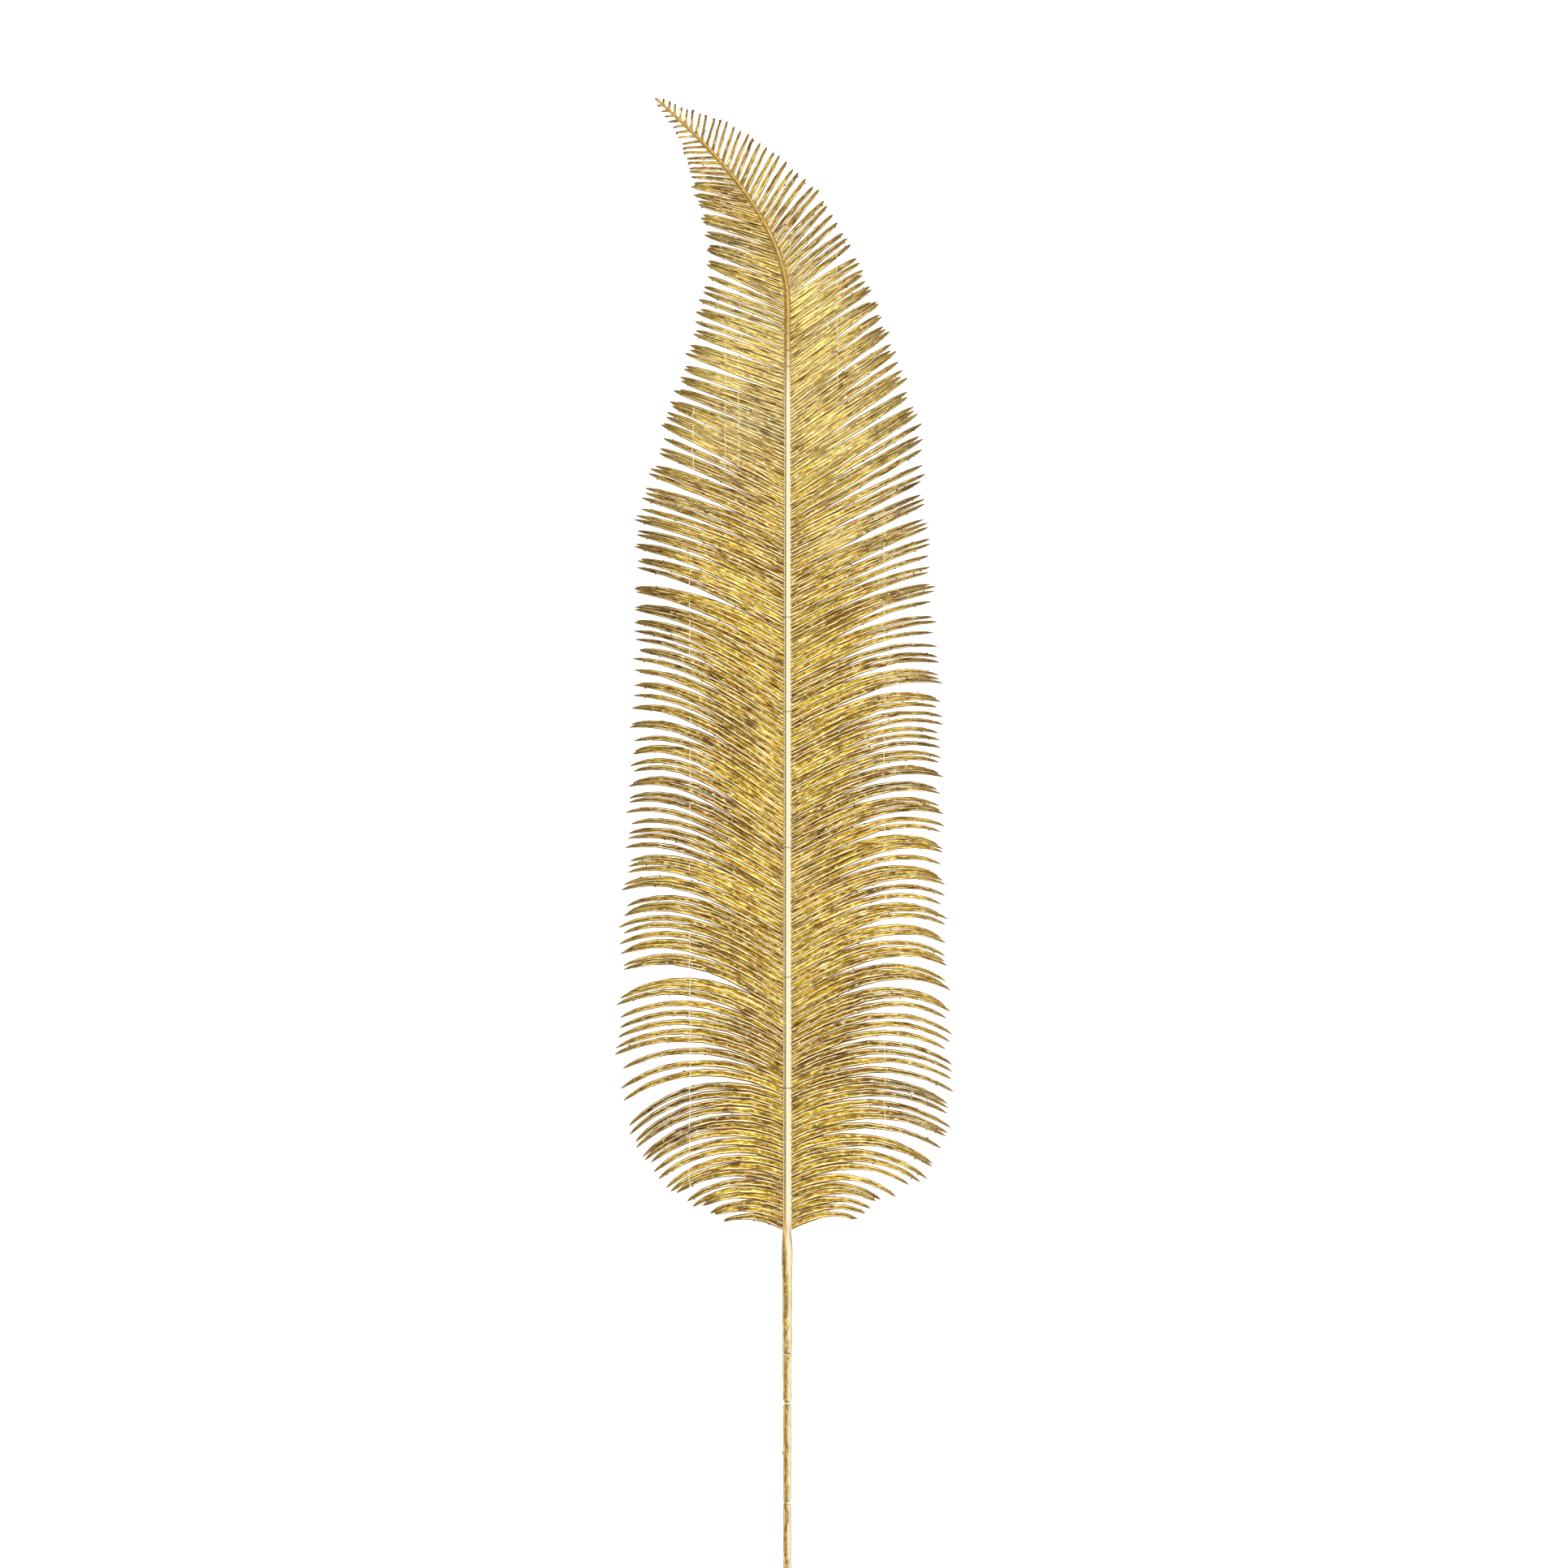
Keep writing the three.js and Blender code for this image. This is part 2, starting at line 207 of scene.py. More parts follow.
@dataclass
class Midrib:
    """The midrib: its course over the floor, its sections and how it arches, as in the frame."""

    length: float = 726 * MM
    bend_start: float = 570 * MM
    bend_turn: float = float(np.radians(56))
    bend_run: float = 75 * MM
    arch_height: float = 9 * MM
    axis_height: float = 3.45 * MM
    tip_depth: float = 1.1 * MM
    tip_lift: float = 1.0 * MM
    stations: np.ndarray = field(default_factory=lambda: np.array([0, 180, 380, 530, 660, 726]) * MM)
    widths: np.ndarray = field(default_factory=lambda: np.array([5.2, 4.7, 4.3, 3.7, 2.9, 1.2]) * MM)
    depths: np.ndarray = field(default_factory=lambda: np.array([4.6, 4.3, 4.0, 3.4, 2.4, 1.1]) * MM)

    def heading(self, distance: np.ndarray) -> np.ndarray:
        """How far the midrib has turned to the left: it nears its full turn exponentially."""
        past = np.maximum(distance - self.bend_start, 0)
        return self.bend_turn * (1 - np.exp(-past / self.bend_run))

    def height(self, distance: np.ndarray) -> np.ndarray:
        """The centre's height: a squared sine over a parabola that falls to the tip's height.

        Args:
            distance: distances from the blade's base.

        Returns:
            Heights over the floor.
        """
        share = np.clip(distance / self.length, 0, 1)
        fall = self.tip_depth / 2 + self.tip_lift - self.axis_height
        return self.axis_height + fall * share**2 + self.arch_height * np.sin(np.pi * share) ** 2

    def centre(self, distance: np.ndarray) -> np.ndarray:
        """The midrib's centre: headings added up in steps of a millimetre, straight below zero.

        Args:
            distance: distances from the blade's base, negative on the stalk.

        Returns:
            Places, with X, Y and Z last.
        """
        knots = np.arange(round(self.length / MM) + 1) * MM
        turn = self.heading(knots[1:] - MM / 2)
        east = np.concatenate([[0], np.cumsum(-np.sin(turn))]) * MM
        north = np.concatenate([[0], np.cumsum(np.cos(turn))]) * MM
        along = np.interp(distance, knots, north) + np.minimum(distance, 0)
        return np.stack([
            np.interp(distance, knots, east), BLADE_START + along, self.height(distance),
        ], axis=-1)

    def outward(self, distance: np.ndarray) -> np.ndarray:
        """The level direction square to the midrib, to its right."""
        turn = self.heading(distance)
        return np.stack([np.cos(turn), np.sin(turn), np.zeros_like(turn)], axis=-1)

    def ahead(self, distance: np.ndarray) -> np.ndarray:
        """The level direction along the midrib."""
        turn = self.heading(distance)
        return np.stack([-np.sin(turn), np.cos(turn), np.zeros_like(turn)], axis=-1)

    def width(self, distance: np.ndarray) -> np.ndarray:
        """Width at each distance, straight between stations."""
        return np.interp(distance, self.stations, self.widths)

    def depth(self, distance: np.ndarray) -> np.ndarray:
        """Depth at each distance, straight between stations."""
        return np.interp(distance, self.stations, self.depths)

    def circles(self, distance: np.ndarray, radius: np.ndarray, sides: int) -> np.ndarray:
        """Upright circles on the straight axis: a cosine to the left and a sine up.

        Args:
            distance: distances from the blade's base.
            radius: radii by circle and corner, or one for each circle in a column.
            sides: corners of each circle.

        Returns:
            Places by circle and corner.
        """
        angle = np.arange(sides) * 2 * np.pi / sides
        rings = np.repeat(self.centre(distance)[:, None], sides, axis=1)
        rings[..., 0] -= np.cos(angle) * radius
        rings[..., 2] += np.sin(angle) * radius
        return rings


# One row per station: distance from the blade's base and length in millimetres, leaving angle and
# tip angle above the midrib's normal in degrees, and the power by which a leaflet turns.
RIGHT_LEAFLETS = (
    (0, 43, 32, -22, 1.2),
    (20, 60, 28, -38, 1.2),
    (35, 88, 29, -38, 1.1),
    (60, 103, 30, -34, 1),
    (85, 104, 28, -34, 1.2),
    (125, 105, 31, -36, 1.9),
    (205, 99.5, 28, -26, 2.5),
    (322, 98, 27, -14, 2.5),
    (350, 96, 29, 6, 2),
    (415, 92, 26, 26, 1),
    (450, 94, 31, 31, 1),
    (511, 74, 36, 36, 1),
    (577, 48, 33, 31, 1),
    (610, 42, 28, 27, 1),
    (675, 22.5, 31, 30, 1),
    (700, 11, 39, 38, 1),
    (726, 2.5, 38, 38, 1),
)
LEFT_LEAFLETS = (
    (0, 38, 30, -22, 1.2),
    (18, 56, 24, -36, 1.1),
    (31, 73, 24, -42, 1),
    (63, 97, 30, -44, 0.9),
    (75, 102, 28, -46, 1),
    (97, 108, 31, -30, 1.2),
    (126, 109, 35, -27, 1.5),
    (172, 107, 30, -28, 2.5),
    (204, 104.5, 29, -16, 3),
    (251, 106, 36, -22, 3),
    (297, 102.5, 34, 2, 2.6),
    (361, 99, 29, 6, 2),
    (412, 97, 27, 14, 1),
    (458, 83, 27, 25, 1),
    (509, 66.5, 19, 19, 1),
    (562, 54.5, 21, 21, 1),
    (627, 41, 46, 46, 1),
    (666, 22, 43, 42, 1),
    (692, 10.5, 39, 39, 1),
    (726, 2.5, 40, 40, 1),
)
# Where the leaflets part into tufts: distance from the base and how far the tips stand apart
RIGHT_PARTINGS = ((48.6, 8), (335, 4), (347, 4), (378, 6), (432, 5))
LEFT_PARTINGS = (
    (24, 3), (80, 8), (91, 5), (133, 9), (219, 3), (263, 4), (276, 4), (289, 5),
    (306, 6), (319, 4), (368, 8), (450, 5),
)
# The mould's joint lines across the leaflets: distance from the midrib, the stretch of the leaf
# that each runs along, all in millimetres, and the share of leaflets that show it
JOINT_LINES = {
    Side.RIGHT: (
        (58.5, 55, 100, 0.75), (58.5, 100, 260, 0.15), (58.5, 260, 280, 0.7),
        (58.5, 280, 375, 0.2), (58.5, 375, 402, 0.8), (30, 500, 600, 0.6),
    ),
    Side.LEFT: (
        (58.5, 25, 145, 0.9), (58.5, 145, 225, 0.2), (58.5, 225, 290, 0.5),
        (58.5, 320, 392, 0.6), (29, 455, 540, 0.65), (37, 450, 535, 0.65), (57, 440, 500, 0.6),
    ),
}
# The share of its width that a leaflet's outer half loses, low on the leaf
NARROWED = {Side.RIGHT: 0.25, Side.LEFT: 0.13}
# A blade's rings along its length, in shares of it
BLADE_RINGS = np.array([0, 0.1, 0.22, 0.36, 0.49, 0.61, 0.72, 0.82, 0.9, 0.96, 1.0])
# A blade's section: shares of half its width and of its depth, and how much painted shade each
# corner gets as an edge and painted highlight as a ridge of the coat
BLADE_SECTION = np.array([
    [1.00, -0.15, 1.00, 0.0],
    [0.88, 0.26, 0.85, 0.5],
    [0.58, 0.42, 0.10, 1.0],
    [0.00, 0.28, 0.55, 0.0],
    [-0.58, 0.42, 0.10, 1.0],
    [-0.88, 0.26, 0.85, 0.5],
    [-1.00, -0.15, 1.00, 0.0],
    [0.00, -0.50, 1.00, 0.0],
])
# A blade's width: shares of its length, and of the full width at its place on the leaf
WIDTH_KNOTS = (0, 0.1, 0.3, 0.5, 0.7, 0.86, 0.93, 0.97, 1)
WIDTH_SHARES = (1.2, 1.3, 1.27, 1.18, 1.06, 0.94, 0.8, 0.56, 0.2)
# A thorn's corners in shares of its size: ahead, up and out from the blade's edge, and how much
# painted edge shade each gets
THORN_CORNERS = np.array([
    [-0.90, 0.00, 0.0, 0.7],
    [0.70, 0.00, 0.0, 0.7],
    [0.00, 0.45, 0.0, 0.5],
    [0.45, 0.00, 1.0, 0.8],
])
THORN_FACES = np.array([[0, 1, 2], [0, 3, 1], [1, 3, 2], [0, 2, 3]])
# A bar's section: shares of half its length along the blade and of its height
BAR_SECTION = np.array([[-0.6, 1], [0.6, 1], [1, -0.6], [-1, -0.6]])


@dataclass
class LeafletRow:
    """One side's leaflets, with their thorns and the raised bars that the mould's joints left."""

    side: Side
    rib: Midrib
    rows: np.ndarray
    partings: np.ndarray
    pitch: float = 4.6 * MM
    first: float = 1.5 * MM
    last: float = 719 * MM
    left_seed: int = 500
    width_stations: tuple[float, ...] = (0, 140, 300, 460, 600, 680)
    full_widths: tuple[float, ...] = (3.9, 3.9, 3.8, 3.65, 3.0, 2.3)
    narrowed_below: tuple[float, float] = (380 * MM, 480 * MM)
    narrowed_past: tuple[float, float] = (0.38, 0.66)
    depth_share: float = 0.33
    root_sunk: float = 1.0 * MM
    arch_share: float = 0.06
    short: float = 40 * MM
    slimmest: float = 0.55
    parting_reach: float = 11 * MM
    largest_tuft: int = 3
    tuft_pull: float = 0.42
    length_spread: float = 0.05
    tip_spread: float = 0.7 * MM
    shift_power: float = 1.6
    curve_steps: int = 24
    slope_step: float = 0.01
    resting: int = 68
    roll_spread: float = float(np.radians(26))
    roll_rise: float = 1.4
    lapped: float = float(np.radians(8))
    lapped_edge_shade: float = 0.75
    waver: float = 0.6 * MM
    waver_step: int = 13
    unevenness: float = 0.16
    width_step: int = 7
    tone_spread: float = 0.8
    run_apart: float = 131 * MM
    thorn_slots: int = 9
    thorn_spacing: float = 11 * MM
    thorn_middle: float = 0.65
    thorn_spread: float = 0.8
    thorn_last: float = 0.93
    thorn_kept: float = 0.33
    thorn_lower: float = 0.36
    thorn_root: float = 0.9
    thorn_reach: float = 0.9 * MM
    thorn_least: float = 0.75
    thorn_tone: float = 0.4
    thorn_place_step: int = 31
    thorn_step: int = 17
    bar_length: float = 0.8 * MM
    bar_past: float = 0.3 * MM
    bar_rise: float = 0.12 * MM
    bar_shift: float = 0.9 * MM
    bar_from_tip: float = 6 * MM
    bar_search: int = 61

    def __post_init__(self) -> None:
        """Works out each leaflet's own values from the rows, as the frame's solids do."""
        count = int(np.ceil((self.last - self.first) / self.pitch))
        self.distance = self.first + (self.last - self.first) * np.arange(count + 1) / count
        at, length, leaving, tip_angle, power = self.rows.T
        step = [np.interp(self.distance, at * MM, column) for column in (length, leaving, tip_angle, power)]
        self.leaving, self.tip_angle = np.radians(step[1]), np.radians(step[2])
        self.power = step[3]
        self.seed = np.arange(count + 1) + (0 if self.side is Side.RIGHT else self.left_seed)
        self.length = step[0] * MM * (1 + self.length_spread * draw(self.seed, Channel.LENGTH))
        grown = np.minimum(1, self.length / self.short)
        self.slimness = self.slimmest + (1 - self.slimmest) * grown
        strayed = self.tip_spread * draw(self.seed, Channel.TIP)
        self.shift = (self.parted() + self.tufts() * self.pitch + strayed) * grown
        self.out = self.rib.outward(self.distance) * self.side.value
        self.ahead = self.rib.ahead(self.distance)
        root_out = self.rib.width(self.distance) / 2 - self.root_sunk
        self.root = self.rib.centre(self.distance) + self.out * root_out[:, None]

    def part_draws(self, parts: np.ndarray, step: int, channel: Channel) -> np.ndarray:
        """Draws by leaflet and part; the step keeps the parts of neighbouring leaflets apart."""
        return draw(self.seed[:, None] * step + parts, channel)

    def tufts(self) -> np.ndarray:
        """Shifts that draw the tips of each tuft of one to three leaflets together.

        Returns:
            One shift for each leaflet, in pitches.
        """
        shifts: list[float] = []
        while len(shifts) < len(self.distance):
            chance = float(draw(np.array(len(shifts)), Channel.TUFT + self.side.value)) + 0.5
            size = 1 + int(chance * self.largest_tuft)
            shifts += [((size - 1) / 2 - member) * self.tuft_pull for member in range(size)]
        return np.array(shifts[: len(self.distance)])

    def parted(self) -> np.ndarray:
        """Shifts that push tips away from each parting, fading exponentially along the midrib.

        Returns:
            One shift for each leaflet, in metres.
        """
        away = self.distance[:, None] - self.partings[:, 0] * MM
        fade = np.exp(-np.abs(away) / self.parting_reach)
        return np.sum(np.sign(away) * self.partings[:, 1] * MM * fade, axis=1) / 2

    def centre_line(self, share: np.ndarray) -> np.ndarray:
        """Places on each leaflet's centre line.

        The heading goes from the leaving angle to the tip angle with the share of length raised
        to the leaflet's power, and is added up in equal steps. The height is a parabola from the
        root to the tip with a second one over it.

        Args:
            share: shares of the length, one row for each leaflet or one row for all.

        Returns:
            Places by leaflet and share, with X, Y and Z last.
        """
        share = np.broadcast_to(share, (len(self.distance), np.shape(share)[-1]))
        u = (np.arange(self.curve_steps) + 0.5) / self.curve_steps * share[..., None]
        turned = u ** self.power[:, None, None]
        angle = self.leaving[:, None, None] + (self.tip_angle - self.leaving)[:, None, None] * turned
        reach = self.length[:, None] * share
        across = np.cos(angle).mean(axis=-1) * reach
        along = np.sin(angle).mean(axis=-1) * reach + self.shift[:, None] * share**self.shift_power
        line = self.root[:, None] + self.out[:, None] * across[..., None]
        line = line + self.ahead[:, None] * along[..., None]
        level = self.root[:, None, 2]
        tip_level = np.where(np.arange(len(level)) == self.resting, 0, self.rib.tip_lift)[:, None]
        arch = self.arch_share * self.length[:, None]
        line[..., 2] = level + (tip_level - level) * share**2 + 4 * arch * share * (1 - share)
        return line

    def frames(self, share: np.ndarray) -> tuple[np.ndarray, np.ndarray, np.ndarray]:
        """Where each leaflet is and how it lies there, from the slope of its centre line.

        Args:
            share: shares of the length, one row for each leaflet or one row for all.

        Returns:
            The centre line, the level direction towards its left, and the one along it.
        """
        line = self.centre_line(share)
        past = self.centre_line(np.clip(share + self.slope_step, 0, 1))
        along = past - self.centre_line(np.clip(share - self.slope_step, 0, 1))
        along[..., 2] = 0
        along /= np.linalg.norm(along, axis=-1, keepdims=True)
        across = np.stack([-along[..., 1], along[..., 0], along[..., 2]], axis=-1)
        return line, across, along

    def half_width(self, share: np.ndarray) -> np.ndarray:
        """Half the blade's width: straight between knots, and narrowed on the outer half.

        The narrowing sets in by a cubic along the leaflet and fades by one up the leaf.

        Args:
            share: shares of the length, one row for each leaflet or one row for all.

        Returns:
            Half widths by leaflet and share.
        """
        full = np.interp(self.distance, np.array(self.width_stations) * MM, self.full_widths) * MM
        low = 1 - smooth_step(self.distance, *self.narrowed_below)
        lost = NARROWED[self.side] * low[:, None] * smooth_step(share, *self.narrowed_past)
        kept = np.interp(share, WIDTH_KNOTS, WIDTH_SHARES) * (1 - lost)
        return full[:, None] * kept / 2 * self.slimness[:, None]

    def blades(self) -> Shell:
        """Blades with a flat back and a shallow channel between two ridges, lapped over the next.

        A section is carried along each centre line, rolled by a sine of the length, and pressed
        flat where it would pass through the floor.

        Returns:
            A skin for each leaflet, with marks of where on it each point lies.
        """
        u, v, edge, ridge = BLADE_SECTION.T
        # Painted shade on the blades' edges, weaker on the edge towards the leaf's tip
        edge = edge * np.where(u * self.side.value > 0, self.lapped_edge_shade, 1)
        line, across, _ = self.frames(BLADE_RINGS)
        numbers = np.arange(len(BLADE_RINGS))
        waver = self.waver * (self.length / self.length.max())[:, None] * np.sin(np.pi * BLADE_RINGS)
        waver = waver * self.part_draws(numbers, self.waver_step, Channel.WAVER)
        line = line + across * waver[..., None]
        uneven = 1 + self.unevenness * self.part_draws(numbers, self.width_step, Channel.WIDTH)
        half = self.half_width(BLADE_RINGS) * uneven
        roll = self.roll_spread * draw(self.seed, Channel.ROLL) - self.lapped * self.side.value
        roll = roll[:, None] * np.sin(np.pi * np.minimum(BLADE_RINGS * self.roll_rise, 1))
        flat = u * half[..., None]
        tall = v * (2 * self.depth_share * half)[..., None]
        over = flat * np.cos(roll)[..., None] - tall * np.sin(roll)[..., None]
        up = flat * np.sin(roll)[..., None] + tall * np.cos(roll)[..., None]
        rings = line[:, :, None] + across[:, :, None] * over[..., None]
        rings[..., 2] = np.maximum(rings[..., 2] + up, 0)
        tone = 0.5 + self.tone_spread * draw(self.seed, Channel.TONE)
        run = (BLADE_RINGS * self.length[:, None] + self.seed[:, None] * self.run_apart) / MM
        return lofted(rings, {
            "along": BLADE_RINGS[None, :, None],
            "edge": edge,
            "ridge": ridge,
            "tone": np.clip(tone, 0, 1)[:, None, None],
            "run": run[..., None],
            "cross": flat / MM,
        })

    def thorns(self) -> Shell:
        """Small thorns, each a pyramid on three points of a blade's edge, leaning to its tip.

        Each leaflet has even places for them, shifted and filled by draws.

        Returns:
            A skin for each thorn.
        """
        slots = np.arange(self.thorn_slots)
        number = np.maximum(np.round(self.length / self.thorn_spacing), 1)[:, None]
        chance = self.part_draws(slots, self.thorn_place_step, Channel.THORN_PLACE)
        which = self.part_draws(slots, self.thorn_step, Channel.THORN)
        share = (slots + self.thorn_middle + chance * self.thorn_spread) / number
        share = np.clip(share, 0, self.thorn_last)
        wanted = (slots < number) & (which < self.thorn_kept)
        lower = -self.side.value * np.where(np.abs(which) < self.thorn_lower, 1, -1)
        line, across, along = self.frames(share)
        edge = self.half_width(share) * lower
        size = (self.thorn_reach * (self.thorn_least + chance))[..., None, None]
        rim = line + across * (edge * self.thorn_root)[..., None]
        outward = across * lower[..., None]
        ahead, up, out, edge_mark = THORN_CORNERS.T[..., None]
        away = along[:, :, None] * ahead + np.array([0, 0, 1]) * up + outward[:, :, None] * out
        corners = (rim[:, :, None] + size * away)[wanted]
        per_thorn = len(THORN_CORNERS)
        start = np.arange(len(corners))[:, None, None] * per_thorn
        flip = (lower[wanted] < 0)[:, None, None]
        faces = np.where(flip, THORN_FACES[None, :, ::-1], THORN_FACES[None]) + start
        marks = {
            "along": np.repeat(share[wanted], per_thorn),
            "edge": np.tile(edge_mark.ravel(), len(corners)),
            "tone": np.full(per_thorn * len(corners), self.thorn_tone),
        }
        return Shell(corners.reshape(-1, 3), [faces.reshape(-1, 3)], marks)

    def bars(self) -> Shell:
        """Raised bars across the blades, where they pass the mould's joint lines.

        A bar's place on a leaflet is read off its centre line, by the distance from the root, and
        its section is carried straight across the blade.

        Returns:
            A skin for each bar.
        """
        shells = []
        fine = np.linspace(0, 1, self.bar_search)[None]
        line = self.centre_line(fine)
        reach = np.abs(line[..., 0] - self.root[:, None, 0])
        for number, (away, low, high, shown) in enumerate(JOINT_LINES[self.side]):
            keep = (self.distance > low * MM) & (self.distance < high * MM)
            keep &= reach[:, -1] > away * MM + self.bar_from_tip
            keep &= draw(self.seed, Channel.BAR + number) + 0.5 < shown
            wanted = away * MM + self.bar_shift * draw(self.seed, Channel.BAR_PLACE + number)
            share = np.array([[np.interp(at, row, fine[0])] for at, row in zip(wanted, reach)])
            half = self.half_width(share)
            run = np.array([-1, 1]) * (half + self.bar_past) * self.side.value
            middle = np.repeat(self.centre_line(share)[:, :, None], len(BAR_SECTION), axis=2)
            rings = np.repeat(middle, 2, axis=1)
            rings[..., 0] += BAR_SECTION[:, 0] * self.bar_length / 2 * self.side.value
            rings[..., 1] += run[..., None]
            rings[..., 2] += BAR_SECTION[:, 1] * (self.depth_share * half + self.bar_rise)[..., None]
            shells.append(lofted(rings[keep], {
                "along": np.array(0.5), "edge": np.array(0.0),
                "tone": np.array(1.0), "joint": np.array(1.0),
            }))
        result = shells[0]
        for shell in shells[1:]:
            result = result.joined(shell)
        return result


# The midrib's section from its left edge over the top to its right edge and back underneath:
# shares of half its width and of its depth, how pale its coat is, with a painted highlight on
# the right band, and how far it lies in painted shade
RIB_SECTION = (
    (-1.00, -0.08, 0.1, 0.7),
    (-1.01, 0.14, 0.2, 0.4),
    (-0.97, 0.31, 0.4, 0.0),
    (-0.86, 0.39, 0.5, 0.0),
    (-0.68, 0.40, 0.5, 0.0),
    (-0.63, 0.33, 0.3, 0.6),
    (-0.59, 0.14, 0.0, 1.0),
    (-0.45, 0.14, 0.0, 1.0),
    (-0.40, 0.37, 0.6, 0.5),
    (-0.32, 0.45, 1.0, 0.0),
    (0.00, 0.48, 1.0, 0.0),
    (0.30, 0.49, 1.0, 0.0),
    (0.54, 0.47, 1.0, 0.0),
    (0.76, 0.42, 1.0, 0.0),
    (0.92, 0.34, 0.9, 0.0),
    (0.99, 0.18, 0.6, 0.1),
    (1.00, -0.08, 0.1, 0.7),
    (0.92, -0.30, 0.0, 0.3),
    (0.62, -0.46, 0.0, 0.0),
    (0.30, -0.50, 0.0, 0.0),
    (-0.30, -0.50, 0.0, 0.0),
    (-0.62, -0.46, 0.0, 0.0),
    (-0.92, -0.30, 0.0, 0.3),
    (-0.98, -0.20, 0.0, 0.5),
)
# Fine creases that run across the midrib: distance from the blade's base in millimetres
RIB_CREASES = (87, 155.5, 235.5, 319, 377, 531.5, 541.5)


@dataclass
class StemCoat:
    """How the coat lies on the stem: a pale band of painted highlight on its right, painted shade at its
    sides and a crumpled streak beside the band.
    """

    stations: tuple[float, ...] = (-60 * MM, -40 * MM, -22 * MM, 0)
    middles: tuple[float, ...] = (-0.22, -0.3, -0.42, -0.5)
    halves: tuple[float, ...] = (0.42, 0.52, 0.5, 0.22)
    wander: float = 0.2
    wander_size: float = 5 * MM
    wander_seed: int = 3
    streak_power: int = 3
    streak_cover: float = 0.85
    # The pale mark rises to the right across this span, a painted highlight, from the coat's cream on the
    # left
    pale_band: tuple[float, float] = (-0.05, 0.3)
    pale_unlit: float = 0.6
    # Painted shade along the stem's sides, and where across the stem it sets in
    side_shade: float = 0.85
    side_shade_at: tuple[float, float] = (0.74, 0.86)
    joint: float = -76 * MM
    joint_slant: float = 1.5 * MM
    joint_line: float = 0.55 * MM
    # A painted highlight along the joint's slanting ridge; the crease after it gets painted shade
    ridge_width: float = 1.4
    joint_highlight: float = 0.9
    crease_after: float = 1.2
    crease_shade: float = 0.8
    crease_side: tuple[float, float] = (-0.1, 0.3)

    def marks(self, across: np.ndarray, points: np.ndarray) -> dict[str, np.ndarray]:
        """Marks of the coat: a bell curve across for the streak, a painted highlight to the right, painted
        shade at the sides, and slanting lines of painted highlight and shade at the joint.

        Args:
            across: how far each point lies to the right of the axis, in shares of the radius.
            points: the points' places.

        Returns:
            The marks pale, streak and shade, from 0 to 1.
        """
        s = points[..., 1] - BLADE_START
        on_axis = points * np.array([0, 1, 0])
        wander = self.wander * lattice_noise(on_axis, self.wander_size, self.wander_seed)
        middle = np.interp(s, self.stations, self.middles) + wander
        off = np.abs((across - middle) / np.interp(s, self.stations, self.halves))
        streak = np.exp(-(off ** self.streak_power))
        # The coat's cream, with a painted highlight rising to the right
        pale = self.pale_unlit + (1 - self.pale_unlit) * smooth_step(across, *self.pale_band)
        # Painted shade along both sides of the stem
        side_shade = self.side_shade * smooth_step(np.abs(across), *self.side_shade_at)
        # At the joint, a slanting band of painted highlight with a crease of painted shade after it
        slanted = (s - self.joint - across * self.joint_slant) / self.joint_line
        crease = np.exp(-((slanted - self.crease_after) ** 2))
        crease = crease * smooth_step(-across, *self.crease_side)
        ridge = np.exp(-((slanted / self.ridge_width) ** 2))
        return {
            "pale": np.maximum(pale * (1 - self.streak_cover * streak), self.joint_highlight * ridge),
            "streak": streak * (1 - ridge),
            "shade": np.maximum(side_shade, self.crease_shade * crease),
        }


@dataclass
class CrumpledCoat:
    """The coat's folds and swells, drawn out along the stem."""

    fold_size: float = 1.0 * MM
    fold_height: float = 0.09 * MM
    fold_stretch: float = 0.4
    swell_size: float = 2.6 * MM
    swell_height: float = 0.12 * MM
    swell_stretch: float = 0.5

    def lift(self, points: np.ndarray, seed: int) -> np.ndarray:
        """How far the coat stands up: the sum of two noises.

        Args:
            points: the points' places.
            seed: which noises these are.

        Returns:
            Heights in metres, also negative ones.
        """
        folds = lattice_noise(points * np.array([1, self.fold_stretch, 1]), self.fold_size, seed)
        swells = lattice_noise(points * np.array([1, self.swell_stretch, 1]), self.swell_size, seed + 1)
        return self.fold_height * folds + self.swell_height * swells


